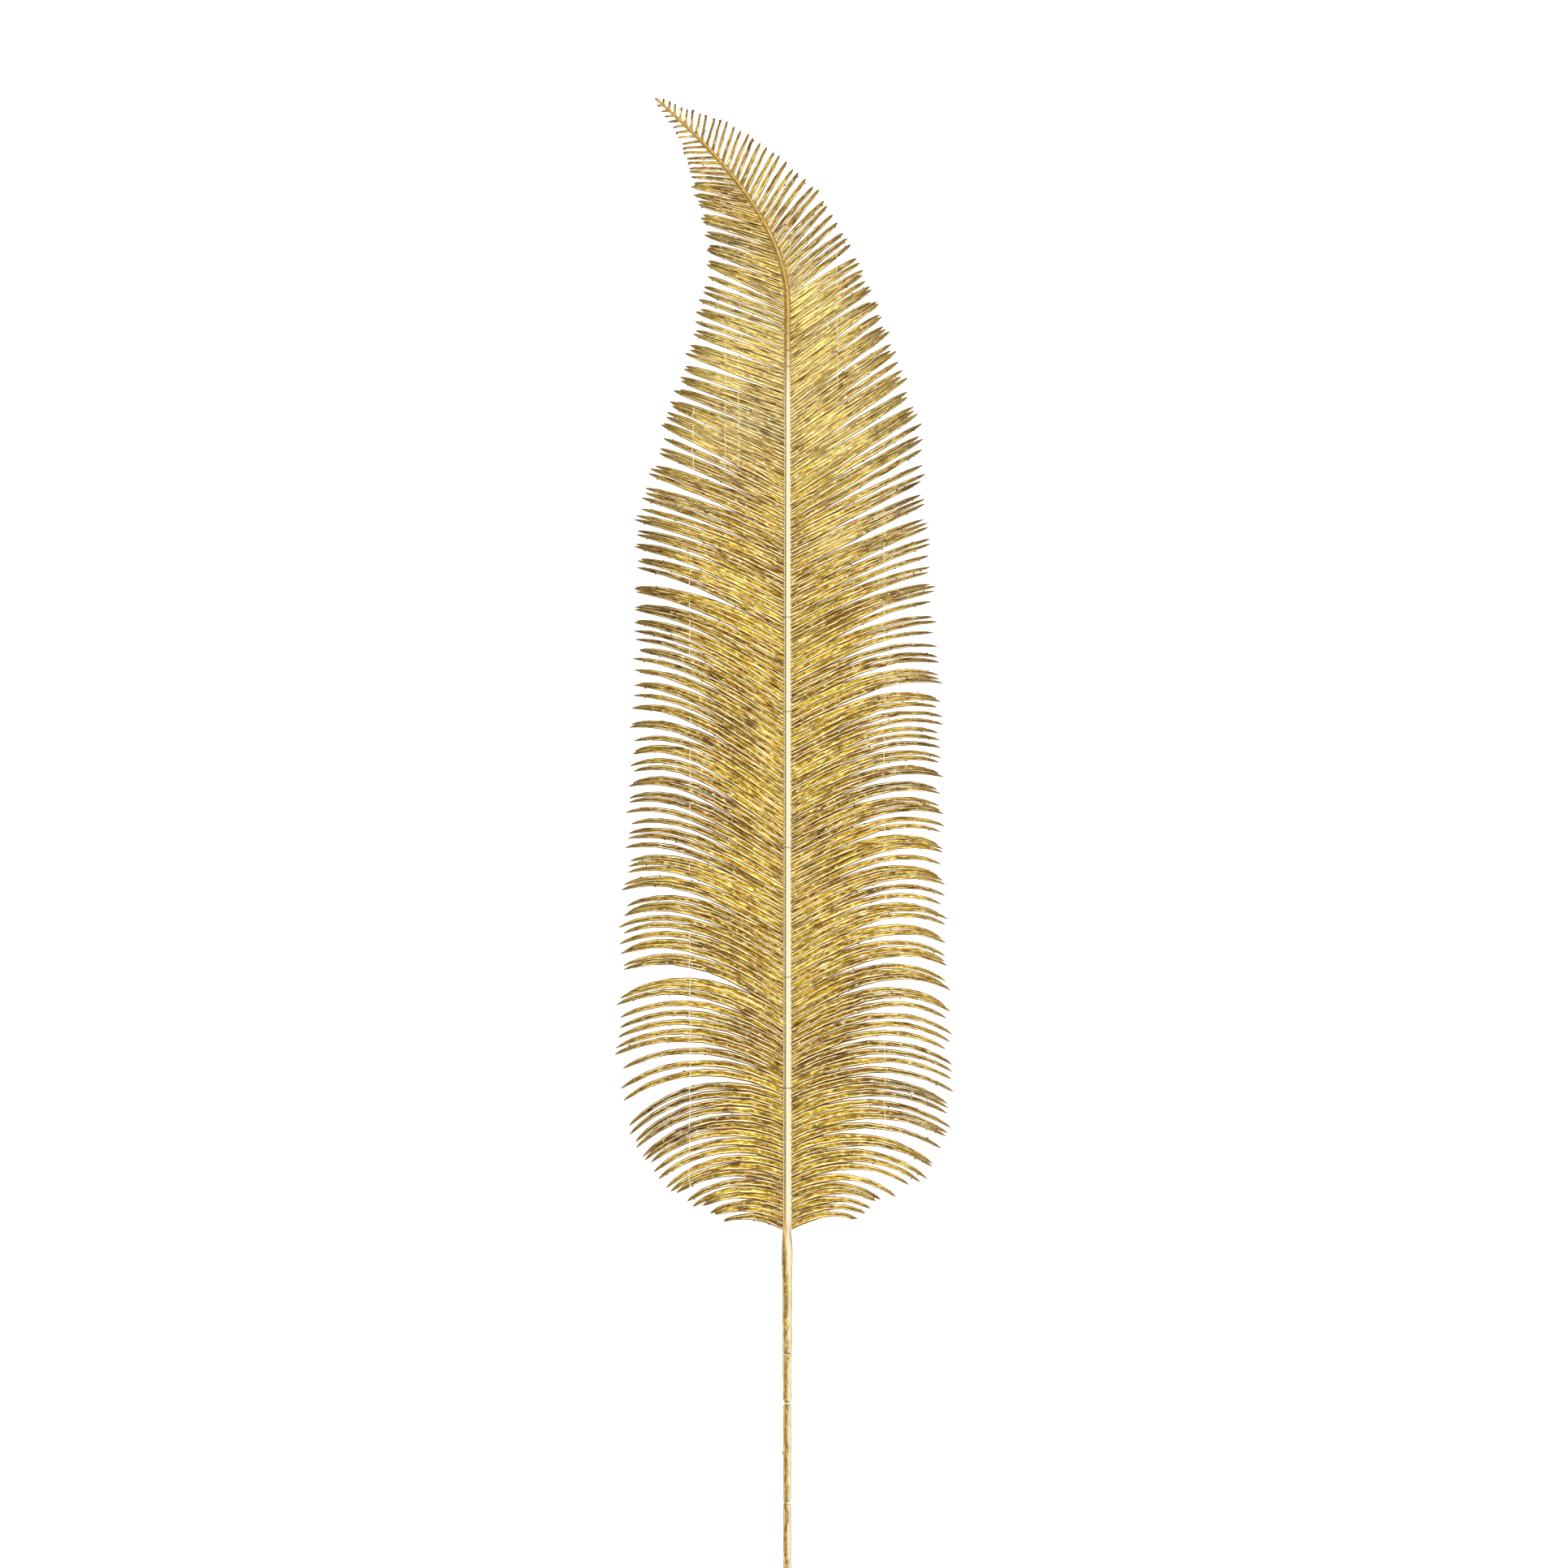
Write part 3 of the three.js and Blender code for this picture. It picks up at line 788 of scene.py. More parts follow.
@dataclass
class MidribMoulding:
    """The midrib with its grooved face and scalloped sides, and the stalk with its socket."""

    rib: Midrib
    first_leaflet: float = 1.5 * MM
    pitch: float = 4.6 * MM
    stalk_stations: np.ndarray = field(default_factory=lambda: np.array([-76, -34, -18, -8]) * MM)
    stalk_radii: np.ndarray = field(default_factory=lambda: np.array([2.95, 3.05, 3.45, 3.45]) * MM)
    stalk_end: float = -76 * MM
    shoulder: float = 0.3 * MM
    blend_start: float = -14 * MM
    blend_end: float = 8 * MM
    stalk_step: float = 1.2 * MM
    blade_step: float = 0.8 * MM
    groove_end: float = 28 * MM
    groove_shade: float = 0.75
    swelling: float = 1.06
    scallop: float = 0.65 * MM
    scallop_at: tuple[float, float] = (0.7, 0.95)
    bead_power: int = 4
    near_crease: tuple[float, ...] = (-0.6, -0.35, -0.15, 0, 0.15, 0.35, 0.6)
    crease_width: float = 0.35 * MM
    crease_in: float = 0.1
    crease_down: float = 0.16
    crease_shade: float = 0.6
    crease_top: float = 0.2
    coat_seed: int = 5
    pale_lost: float = 0.9
    pale_ends: tuple[float, float] = (505 * MM, 565 * MM)
    tip_streak: float = 0.5
    streak_starts: tuple[float, float] = (510 * MM, 560 * MM)
    socket_radius: float = 2.2 * MM
    socket_depth: float = 18 * MM

    def stations(self) -> np.ndarray:
        """Where the rings are: even steps, and closer ones round each crease.

        Returns:
            Distances from the blade's base, from the stalk's end to the tip.
        """
        stalk = np.arange(self.stalk_end + self.shoulder, self.blend_start, self.stalk_step)
        blade = np.arange(self.blend_start, self.rib.length, self.blade_step)
        creases = (np.array(RIB_CREASES) * MM)[:, None] + np.array(self.near_crease) * MM
        return np.unique(np.concatenate([stalk, blade, creases.ravel(), [self.rib.length]]).round(6))

    def shell(self) -> Shell:
        """Rings that ease from the stalk's circle to the midrib's section, and the socket's wall.

        The sides bulge by a power of a cosine at each leaflet, creases narrow a ring by a bell
        curve, and the stalk's coat is crumpled.

        Returns:
            One skin, with marks of the coat.
        """
        x, z, pale, shade = np.array(RIB_SECTION).T
        s = self.stations()
        blend = smooth_step(s, self.blend_start, self.blend_end)[:, None]
        angle = np.arange(len(x)) * 2 * np.pi / len(x)
        radius = np.interp(s, self.stalk_stations, self.stalk_radii)[:, None]
        crease = sum(np.exp(-(((s - at * MM) / self.crease_width) ** 2)) for at in RIB_CREASES)[:, None]
        bead = np.cos(np.pi * (s - self.first_leaflet) / self.pitch)[:, None] ** self.bead_power
        scallop = np.where(x > 0, self.scallop, -self.scallop / 2)
        side = smooth_step(np.abs(x), *self.scallop_at) * scallop * bead
        wide = x * self.rib.width(s)[:, None] / 2 * self.swelling + side
        wide = wide * (1 - self.crease_in * crease)
        tall = z * self.rib.depth(s)[:, None] * (1 - self.crease_down * crease)
        across = wide * blend - np.cos(angle) * radius * (1 - blend)
        up = tall * blend + np.sin(angle) * radius * (1 - blend)
        rings = self.placed(s, across, up)
        lift = (CrumpledCoat().lift(rings, self.coat_seed) * (1 - blend))[..., None]
        rings = rings + lift * np.stack([-np.cos(angle), 0 * angle, np.sin(angle)], axis=-1)
        stem = StemCoat().marks(-np.cos(angle) + 0 * s[:, None], rings)
        # The pale coat and its painted highlight fade towards the tip
        kept = 1 - self.pale_lost * smooth_step(s, *self.pale_ends)[:, None]
        groove = self.groove_shade * smooth_step(s, 0, self.groove_end)[:, None]
        crease_mark = self.crease_shade * crease * smooth_step(z, 0, self.crease_top)
        tip_streak = self.tip_streak * smooth_step(s, *self.streak_starts)[:, None]
        # pale holds the coat's cream with its painted highlight, shade holds painted shade
        marks = {
            "pale": stem["pale"] * (1 - blend) + pale * kept * blend,
            "streak": stem["streak"] * (1 - blend) + tip_streak,
            "shade": stem["shade"] * (1 - blend) + np.maximum(shade * groove, crease_mark),
        }
        lip = self.stalk_end + np.array([self.socket_depth, 0, 0])
        bore = np.array([self.socket_radius, self.socket_radius, radius[0, 0] - self.shoulder])[:, None]
        inner = self.placed(lip, -np.cos(angle) * bore, np.sin(angle) * bore)
        rings = np.concatenate([inner, rings])
        rings[..., 2] = np.maximum(rings[..., 2], 0)
        bare = np.zeros((len(inner), len(x)))
        marks = {name: np.concatenate([bare, v + 0 * x])[None] for name, v in marks.items()}
        return lofted(rings[None], marks)

    def placed(self, s: np.ndarray, across: np.ndarray, up: np.ndarray) -> np.ndarray:
        """Points beside and above the midrib's centre.

        Args:
            s: each ring's distance from the blade's base.
            across: by ring and corner, how far to the right.
            up: by ring and corner, how far up.

        Returns:
            Places by ring and corner.
        """
        rings = self.rib.centre(s)[:, None] + self.rib.outward(s)[:, None] * across[..., None]
        rings[..., 2] += up
        return rings


@dataclass
class StemCover:
    """The sleeve over the wire below the stalk, pinched at two joints, with a spigot at its top.

    A waist is its distance from the blade's base and its depth on the left and on the right.
    """

    rib: Midrib
    top: float = -76.3 * MM
    end: float = -220 * MM
    top_radius: float = 2.9 * MM
    end_radius: float = 2.5 * MM
    bore: float = 1.1 * MM
    spigot_radius: float = 1.9 * MM
    spigot_top: float = -58.3 * MM
    chamfer: float = 0.5 * MM
    step: float = 1.1 * MM
    near_joint: tuple[float, ...] = (-2.4, -1.6, -1, -0.6, -0.3, -0.12, 0, 0.12, 0.3, 0.6, 1, 1.6, 2.4)
    waists: tuple[tuple[float, float, float], ...] = (
        (-107.3 * MM, 1.05 * MM, 1.05 * MM), (-168.5 * MM, 0.25 * MM, 1.0 * MM))
    neck: float = 1.3 * MM
    neck_power: float = 2.4
    line_at: float = 0.75
    line_width: float = 0.2
    line_shade: float = 0.75
    milky_width: float = 0.5
    nick_at: float = -93 * MM
    nick_width: float = 0.4 * MM
    nick_depth: float = 0.4 * MM
    nick_shade: float = 0.8
    spur_at: float = -138 * MM
    spur_width: float = 0.8 * MM
    spur_reach: float = 0.9 * MM
    left_spread: float = 0.12
    coat_seed: int = 11
    sides: int = 28

    def stations(self) -> np.ndarray:
        """Where the rings of the outside are: even steps, and closer ones round each joint.

        Returns:
            Distances from the blade's base, from the end's chamfer to the top's.
        """
        even = np.arange(self.end + self.chamfer, self.top - self.chamfer, self.step)
        places = np.array([at for at, _, _ in self.waists] + [self.nick_at])
        joints = places[:, None] + np.array(self.near_joint) * MM
        return np.unique(np.concatenate([even, joints.ravel(), [self.top - self.chamfer]]).round(6))

    def shell(self) -> Shell:
        """A tube whose outside is pinched exponentially at each joint and crumpled all over.

        A nick and a spur are bell curves along the stem and round its left side.

        Returns:
            One skin, inside and outside, with marks of the coat.
        """
        s = self.stations()
        angle = np.arange(self.sides) * 2 * np.pi / self.sides
        to_right = 0.5 - 0.5 * np.cos(angle)
        pinch, line, pale_band = (np.zeros((len(s), self.sides)) for _ in range(3))
        for at, left_depth, right_depth in self.waists:
            near = np.abs((s - at) / self.neck)[:, None]
            depth = left_depth + (right_depth - left_depth) * to_right
            share = depth / right_depth
            pinch += depth * np.exp(-(near ** self.neck_power))
            line = np.maximum(line, share * np.exp(-(((near - self.line_at) / self.line_width) ** 2)))
            pale_band = np.maximum(pale_band, share * np.exp(-((near / self.milky_width) ** 2)))
        radius = np.interp(s, [self.end, self.top], [self.end_radius, self.top_radius])[:, None] - pinch
        left = np.exp(-(((angle + np.pi) % (2 * np.pi) - np.pi) ** 2) / self.left_spread)
        nick = left * np.exp(-(((s - self.nick_at) / self.nick_width) ** 2))[:, None]
        spur = left * np.exp(-(((s - self.spur_at) / self.spur_width) ** 2))[:, None]
        lift = CrumpledCoat().lift(self.rib.circles(s, radius, self.sides), self.coat_seed)
        lift = lift - self.nick_depth * nick + self.spur_reach * spur
        outside = self.rib.circles(s, radius + lift, self.sides)
        # The coat's pale mark holds its painted highlight, its shade mark painted shade
        marks = StemCoat().marks(-np.cos(angle) + 0 * s[:, None], outside)
        marks["streak"] *= 1 - pale_band
        marks["pale"] = np.maximum(marks["pale"], pale_band)
        dark = np.maximum(self.line_shade * line, self.nick_shade * nick)
        marks["shade"] = np.maximum(marks["shade"], dark)
        first = np.array([
            [self.spigot_top, self.bore], [self.end, self.bore],
            [self.end, self.end_radius - self.chamfer],
        ])
        last = np.array([
            [self.top, self.top_radius - self.chamfer], [self.top, self.spigot_radius],
            [self.spigot_top, self.spigot_radius],
        ])
        inside, spigot = (self.rib.circles(end[:, 0], end[:, 1:], self.sides) for end in (first, last))
        bare = np.zeros((len(first), self.sides))
        marks = {name: np.concatenate([bare, v, bare])[None] for name, v in marks.items()}
        return lofted(np.concatenate([inside, outside, spigot])[None], marks, looped=True)


@dataclass
class CoreWire:
    """The steel wire from the stem's end to inside the midrib, with softened ends."""

    rib: Midrib
    end: float = -223 * MM
    straight_until: float = -100 * MM
    tip: float = 430 * MM
    step: float = 11 * MM
    radius: float = 0.8 * MM
    softened: float = 0.2 * MM
    sides: int = 16

    def shell(self) -> Shell:
        """Circles along the midrib's course, smaller at both ends.

        Returns:
            One skin.
        """
        start = np.array([self.end, self.end + self.softened, self.straight_until])
        finish = [self.tip - self.softened, self.tip]
        s = np.concatenate([start, np.arange(0, self.tip, self.step), finish])
        radius = np.full((len(s), 1), self.radius)
        radius[[0, -1]] -= self.softened
        return lofted(self.rib.circles(s, radius, self.sides)[None], {})


def linear(code: str) -> tuple[float, float, float, float]:
    """The linear colour of an sRGB hex code, with full alpha.

    Args:
        code: a # and six hex digits.

    Returns:
        Red, green, blue and alpha.
    """
    srgb = np.array([int(code[at : at + 2], 16) for at in (1, 3, 5)]) / 255
    value = np.where(srgb <= 0.04045, srgb / 12.92, ((srgb + 0.055) / 1.055) ** 2.4)
    return (*value.tolist(), 1.0)


def add_node(
    tree: bpy.types.NodeTree,
    kind: str,
    inputs: dict | None = None,
    stops: Stops = (),
    **settings: object,
) -> bpy.types.Node:
    """Adds a node with its settings and its links.

    Args:
        tree: the material's node tree.
        kind: the node's type name.
        inputs: by input name or number, a value to set or a socket to link from.
        stops: a colour ramp's positions and hex colours.
        **settings: the node's own properties.

    Returns:
        The new node.
    """
    node = tree.nodes.new(kind)
    for name, value in settings.items():
        setattr(node, name, value)
    for name, value in (inputs or {}).items():
        if isinstance(value, bpy.types.NodeSocket):
            tree.links.new(value, node.inputs[name])
        else:
            node.inputs[name].default_value = value
    if stops:
        ramp = node.color_ramp.elements
        while len(ramp) < len(stops):
            ramp.new(1.0)
        for element, (position, code) in zip(ramp, stops):
            element.position, element.color = position, linear(code)
    return node


def blank_material(name: str) -> tuple[bpy.types.Material, bpy.types.NodeTree]:
    """A material without nodes.

    Args:
        name: what the real material is.

    Returns:
        The material and its node tree.
    """
    material = bpy.data.materials.new(name)
    material.use_nodes = True
    material.node_tree.nodes.clear()
    return material, material.node_tree


@dataclass(frozen=True)
class GildedLeaflets:
    """Moulded polyethylene under a lacquered metal coat: mottled gold, brown tips, painted shade and
    highlights.
    """

    olive: str = "#998920"
    gold: str = "#C7A41C"
    yellow: str = "#DEC738"
    orange: str = "#CA9E24"
    brown: str = "#9A7D28"
    edge: str = "#76540F"
    tip: str = "#8A6E38"
    joint: str = "#EFE0B0"
    highlight: str = "#FFF2BC"
    bleached: str = "#F3DF8E"
    deep: str = "#A08A4A"
    blotch_length_mm: float = 22.0
    blotch_width_mm: float = 7.0
    fleck_length_mm: float = 3.4
    fleck_width_mm: float = 1.1
    wrinkle_length_mm: float = 13.0
    wrinkle_width_mm: float = 0.6
    zone_size: float = 60 * MM
    fleck_stops: Stops = ((0.34, "#5E4410"), (0.44, "#DACA98"), (0.55, "#FFFFFF"))
    wrinkle_stops: Stops = ((0.34, "#4E3608"), (0.46, "#D2BE84"), (0.56, "#FFFFFF"))
    zone_stops: Stops = ((0.36, "#BC9F4E"), (0.52, "#FFFFFF"))
    tone_stops: Stops = ((0.0, "#AE9660"), (0.5, "#EEE6CC"), (1.0, "#FFFFFF"))

    def material(self) -> bpy.types.Material:
        """Mottled gold, worn in places, with painted highlights and painted shade on the edges, rougher in
        the flecks' hollows and with a relief of wrinkles.

        Returns:
            The material, which reads the leaflets' own marks.
        """
        material, tree = blank_material("gilded moulded polyethylene, leaflets")
        mark = {
            name: add_node(tree, "ShaderNodeAttribute", attribute_name=name).outputs["Fac"]
            for name in ("along", "edge", "ridge", "tone", "joint", "pale", "deep", "run", "cross")
        }
        pattern = self.patterns(tree, mark)
        # Painted shade on the leaflets' edges
        edge = add_node(tree, "ShaderNodeMapRange", {
            "Value": mark["edge"], "From Min": 0.5, "From Max": 1.0, "To Max": 0.85,
        }).outputs["Result"]
        base = self.worn(tree, mark, pattern, edge, self.mottled(tree, mark, pattern))
        rough = add_node(tree, "ShaderNodeMapRange", {
            "Value": pattern["fleck"], "From Min": 0.3, "From Max": 0.7,
            "To Min": 0.5, "To Max": 0.28})
        relief = add_node(tree, "ShaderNodeMath", {
            0: pattern["wrinkle"], 1: 3.0, 2: pattern["fleck"]}, operation="MULTIPLY_ADD")
        bump = add_node(tree, "ShaderNodeBump", {
            "Strength": 0.45, "Distance": 0.15 * MM, "Height": relief.outputs["Value"]})
        # The coat is missing on the joints, where bare plastic shows, and the edges hold painted shade;
        # neither is metal
        bare = add_node(tree, "ShaderNodeMath", {0: edge, 1: mark["joint"]}, operation="MAXIMUM")
        metal = add_node(tree, "ShaderNodeMapRange", {
            "Value": bare.outputs["Value"], "To Min": 0.9, "To Max": 0.0})
        shader = add_node(tree, "ShaderNodeBsdfPrincipled", {
            "Base Color": base, "Metallic": metal.outputs["Result"],
            "Roughness": rough.outputs["Result"], "Normal": bump.outputs["Normal"],
            "Coat Weight": 0.1, "Coat Roughness": 0.2})
        add_node(tree, "ShaderNodeOutputMaterial", {"Surface": shader.outputs["BSDF"]})
        return material

    def patterns(self, tree: bpy.types.NodeTree, mark: Sockets) -> Sockets:
        """The coat's noises: blotches, flecks and wrinkles on each leaflet, and zones of the leaf.

        Args:
            tree: the material's node tree.
            mark: the leaflets' marks by name.

        Returns:
            The noises by name.
        """
        # Each pattern is drawn out along its own leaflet, so it turns with it: wrinkles in the coat
        # catch the light as fine lines, and flecks are where the coat is worn thin or lies thick.
        # Real flecks are finer than these, which are as coarse as they need to be to show.
        place = add_node(tree, "ShaderNodeCombineXYZ", {"X": mark["run"], "Y": mark["cross"]})
        pattern = {}
        for name, length, width, detail in (
            ("blotch", self.blotch_length_mm, self.blotch_width_mm, 4.0),
            ("fleck", self.fleck_length_mm, self.fleck_width_mm, 2.0),
            ("wrinkle", self.wrinkle_length_mm, self.wrinkle_width_mm, 1.5),
        ):
            drawn = add_node(tree, "ShaderNodeMapping", {
                "Vector": place.outputs["Vector"], "Scale": (1 / length, 1 / width, 1.0)})
            pattern[name] = add_node(tree, "ShaderNodeTexNoise", {
                "Vector": drawn.outputs["Vector"], "Scale": 1.0, "Detail": detail,
                "Roughness": 0.6}).outputs["Fac"]
        # Whole zones of the leaf were sprayed more thinly than others
        place = add_node(tree, "ShaderNodeTexCoord").outputs["Object"]
        pattern["zone"] = add_node(tree, "ShaderNodeTexNoise", {
            "Vector": place, "Scale": 1 / self.zone_size, "Detail": 2.0}).outputs["Fac"]
        return pattern

    def mottled(
        self, tree: bpy.types.NodeTree, mark: Sockets, pattern: Sockets
    ) -> bpy.types.NodeSocket:
        """Blotches in five golds, multiplied by the darker colours of each layer in turn.

        Args:
            tree: the material's node tree.
            mark: the leaflets' marks by name.
            pattern: the coat's noises by name.

        Returns:
            The coat's colour under the painted highlights, painted shade and other covers.
        """
        base = add_node(tree, "ShaderNodeValToRGB", {"Fac": pattern["blotch"]}, stops=(
            (0.33, self.olive), (0.43, self.gold), (0.5, self.yellow), (0.57, self.orange),
            (0.67, self.brown))).outputs["Color"]
        layers = (
            (pattern["fleck"], 0.8, self.fleck_stops),
            (pattern["wrinkle"], 0.9, self.wrinkle_stops),
            (pattern["zone"], 0.8, self.zone_stops),
            (mark["tone"], 1.0, self.tone_stops),
            (mark["deep"], 1.0, ((0.0, "#FFFFFF"), (1.0, self.deep))),
        )
        for value, strength, stops in layers:
            layer = add_node(tree, "ShaderNodeValToRGB", {"Fac": value}, stops=stops)
            base = add_node(tree, "ShaderNodeMix", {
                0: strength, 6: base, 7: layer.outputs["Color"]},
                data_type="RGBA", blend_type="MULTIPLY").outputs[2]
        return base

    def worn(
        self,
        tree: bpy.types.NodeTree,
        mark: Sockets,
        pattern: Sockets,
        edge: bpy.types.NodeSocket,
        base: bpy.types.NodeSocket,
    ) -> bpy.types.NodeSocket:
        """Covers laid over the coat's colour in turn, each by the share of it that it hides.

        Args:
            tree: the material's node tree.
            mark: the leaflets' marks by name.
            pattern: the coat's noises by name.
            edge: how much painted shade the leaflets' edges get.
            base: the coat's colour under the covers.

        Returns:
            The colour with painted highlights on the ridges and flecks, painted shade on the edges, brown
            tips, bleached patches and joints.
        """
        tip = add_node(tree, "ShaderNodeMapRange", {
            "Value": mark["along"], "From Min": 0.86, "From Max": 0.99, "To Max": 0.6})
        # A painted highlight on the two ridges of each leaflet, in patches along the light wrinkles
        ridge_glint = add_node(tree, "ShaderNodeMath", {0: mark["ridge"], 1: pattern["wrinkle"]},
                          operation="MULTIPLY")
        bright = add_node(tree, "ShaderNodeMapRange", {
            "Value": ridge_glint.outputs["Value"], "From Min": 0.33, "From Max": 0.52, "To Max": 0.85})
        # Painted glints where the flecks are lightest
        fleck_glints = add_node(tree, "ShaderNodeMapRange", {
            "Value": pattern["fleck"], "From Min": 0.6, "From Max": 0.7, "To Max": 0.7})
        # Bleaching spreads along the leaflets, so it shows most where the wrinkles are light
        flaked = add_node(tree, "ShaderNodeMapRange", {
            "Value": pattern["wrinkle"], "From Min": 0.4, "From Max": 0.55, "To Min": 0.4,
            "To Max": 2.2})
        pale = add_node(tree, "ShaderNodeMath", {
            0: mark["pale"], 1: flaked.outputs["Result"]}, operation="MULTIPLY", use_clamp=True)
        # Painted highlights first, then painted shade on the edges, then brown tips, bleached patches and
        # joints
        covers = (
            (bright.outputs["Result"], self.highlight),
            (fleck_glints.outputs["Result"], self.highlight),
            (edge, self.edge),
            (tip.outputs["Result"], self.tip),
            (pale.outputs["Value"], self.bleached),
            (mark["joint"], self.joint),
        )
        for share, cover in covers:
            base = add_node(tree, "ShaderNodeMix", {0: share, 6: base, 7: linear(cover)},
                            data_type="RGBA").outputs[2]
        return base


@dataclass(frozen=True)
class GildedStem:
    """The same coat on the midrib and stem: pale, with a painted highlight and painted shade, and crumpled
    into streaks.
    """

    name: str
    gold: str = "#C99D3C"
    cream: str = "#F8ECC8"
    olive: str = "#9C8634"
    brown: str = "#69501A"
    shade: str = "#5C5230"
    streak: float = 1.0 * MM
    stretch: float = 0.35
    crinkle: float = 1.1 * MM

    def material(self) -> bpy.types.Material:
        """Pale and dark marks over gold, with noise drawn out along the stem in the streaks.

        Returns:
            The material, which reads the stem's own marks.
        """
        material, tree = blank_material(f"gilded moulded polyethylene, {self.name}")
        place = add_node(tree, "ShaderNodeTexCoord").outputs["Object"]
        mark = {
            name: add_node(tree, "ShaderNodeAttribute", attribute_name=name).outputs["Fac"]
            for name in ("pale", "streak", "shade")
        }
        # The coat crumpled into streaks along the stem, and darker metal shows between their folds
        drawn = add_node(tree, "ShaderNodeMapping", {
            "Vector": place, "Scale": (1.0, self.stretch, 1.0)})
        streaks = add_node(tree, "ShaderNodeTexNoise", {
            "Vector": drawn.outputs["Vector"], "Scale": 1 / self.streak, "Detail": 3.0,
            "Roughness": 0.6})
        flecks = add_node(tree, "ShaderNodeTexNoise", {
            "Vector": place, "Scale": 1 / self.crinkle, "Detail": 2.0})
        # The pale mark mixes in the coat's cream, with a painted highlight on the right
        pale = add_node(tree, "ShaderNodeMix", {
            0: mark["pale"], 6: linear(self.gold), 7: linear(self.cream)}, data_type="RGBA")
        dark = add_node(tree, "ShaderNodeValToRGB", {"Fac": streaks.outputs["Fac"]}, stops=(
            (0.39, self.brown), (0.49, self.olive), (0.60, self.gold), (0.74, self.cream)))
        streaked = add_node(tree, "ShaderNodeMix", {
            0: mark["streak"], 6: pale.outputs[2], 7: dark.outputs["Color"]}, data_type="RGBA")
        shaded = add_node(tree, "ShaderNodeMix", {
            0: mark["shade"], 6: streaked.outputs[2], 7: linear(self.shade)}, data_type="RGBA")
        rough = add_node(tree, "ShaderNodeMapRange", {
            "Value": flecks.outputs["Fac"], "From Min": 0.3, "From Max": 0.7,
            "To Min": 0.28, "To Max": 0.45})
        bump = add_node(tree, "ShaderNodeBump", {
            "Strength": 0.6, "Distance": 0.25 * MM, "Height": flecks.outputs["Fac"]})
        # The pale mark, the coat's cream with its painted highlight, makes the coat less metallic, which
        # evens out reflections
        metal = add_node(tree, "ShaderNodeMapRange", {
            "Value": mark["pale"], "From Min": 0.3, "From Max": 1.0, "To Min": 0.5, "To Max": 0.05})
        shader = add_node(tree, "ShaderNodeBsdfPrincipled", {
            "Base Color": shaded.outputs[2], "Metallic": metal.outputs["Result"],
            "Roughness": rough.outputs["Result"], "Normal": bump.outputs["Normal"],
            "Coat Weight": 0.15, "Coat Roughness": 0.2})
        add_node(tree, "ShaderNodeOutputMaterial", {"Surface": shader.outputs["BSDF"]})
        return material


@dataclass(frozen=True)
class DrawnSteel:
    """Drawn steel wire: a grey metal with fine lines along it and dull spots."""

    steel: str = "#9C9C9E"
    dull: str = "#6A6662"
    line: float = 0.25 * MM
    stretch: float = 0.05

    def material(self) -> bpy.types.Material:
        """Noise drawn out along the wire colours and roughens it.

        Returns:
            The material.
        """
        material, tree = blank_material("drawn steel wire")
        # The die leaves lines along the wire, which show as thin dull streaks on the grey
        place = add_node(tree, "ShaderNodeTexCoord").outputs["Object"]
        drawn = add_node(tree, "ShaderNodeMapping", {
            "Vector": place, "Scale": (1.0, self.stretch, 1.0)})
        lines = add_node(tree, "ShaderNodeTexNoise", {
            "Vector": drawn.outputs["Vector"], "Scale": 1 / self.line, "Detail": 2.0})
        colour = add_node(tree, "ShaderNodeValToRGB", {"Fac": lines.outputs["Fac"]}, stops=(
            (0.35, self.dull), (0.6, self.steel)))
        rough = add_node(tree, "ShaderNodeMapRange", {
            "Value": lines.outputs["Fac"], "To Min": 0.35, "To Max": 0.6})
        shader = add_node(tree, "ShaderNodeBsdfPrincipled", {
            "Base Color": colour.outputs["Color"], "Metallic": 1.0,
            "Roughness": rough.outputs["Result"]})
        add_node(tree, "ShaderNodeOutputMaterial", {"Surface": shader.outputs["BSDF"]})
        return material


# Where the coat looks bleached, and where it is deeper and browner: X and Y in millimetres,
# radius, and how much
PALE_PATCHES = (
    (-5, 545, 75, 0.15),
    (14, 585, 16, 0.35),
    (-40, 545, 24, 0.2),
    (-42, 505, 26, 0.18),
    (32, 508, 20, 0.2),
    (28, 440, 14, 0.2),
)
DEEP_PATCHES = (
    (15, 628, 15, 1.0),
    (-33, 620, 15, 0.7),
    (-9, 580, 13, 0.6),
    (-60, 600, 12, 0.5),
    (68, 505, 15, 0.6),
    (75, 470, 20, 0.6),
    (55, 435, 22, 0.5),
    (-75, 385, 22, 0.7),
    (-45, 330, 22, 0.5),
    (60, 300, 26, 0.4),
    (-50, 190, 26, 0.5),
    (55, 150, 24, 0.5),
    (-74, 90, 28, 0.7),
    (70, 95, 26, 0.6),
)


def patched(shell: Shell, patches: tuple[tuple[float, float, float, float], ...]) -> np.ndarray:
    """The strongest of the patches at each point: bell curves round their middles.

    Args:
        shell: the skins to mark.
        patches: X, Y, radius and strength of each patch, in millimetres.

    Returns:
        One value for each of the shell's points.
    """
    strength = np.zeros(len(shell.points))
    for x, y, radius, most in patches:
        away = np.hypot(shell.points[:, 0] / MM - x, shell.points[:, 1] / MM - y)
        strength = np.maximum(strength, most * np.exp(-((away / radius) ** 2)))
    return strength


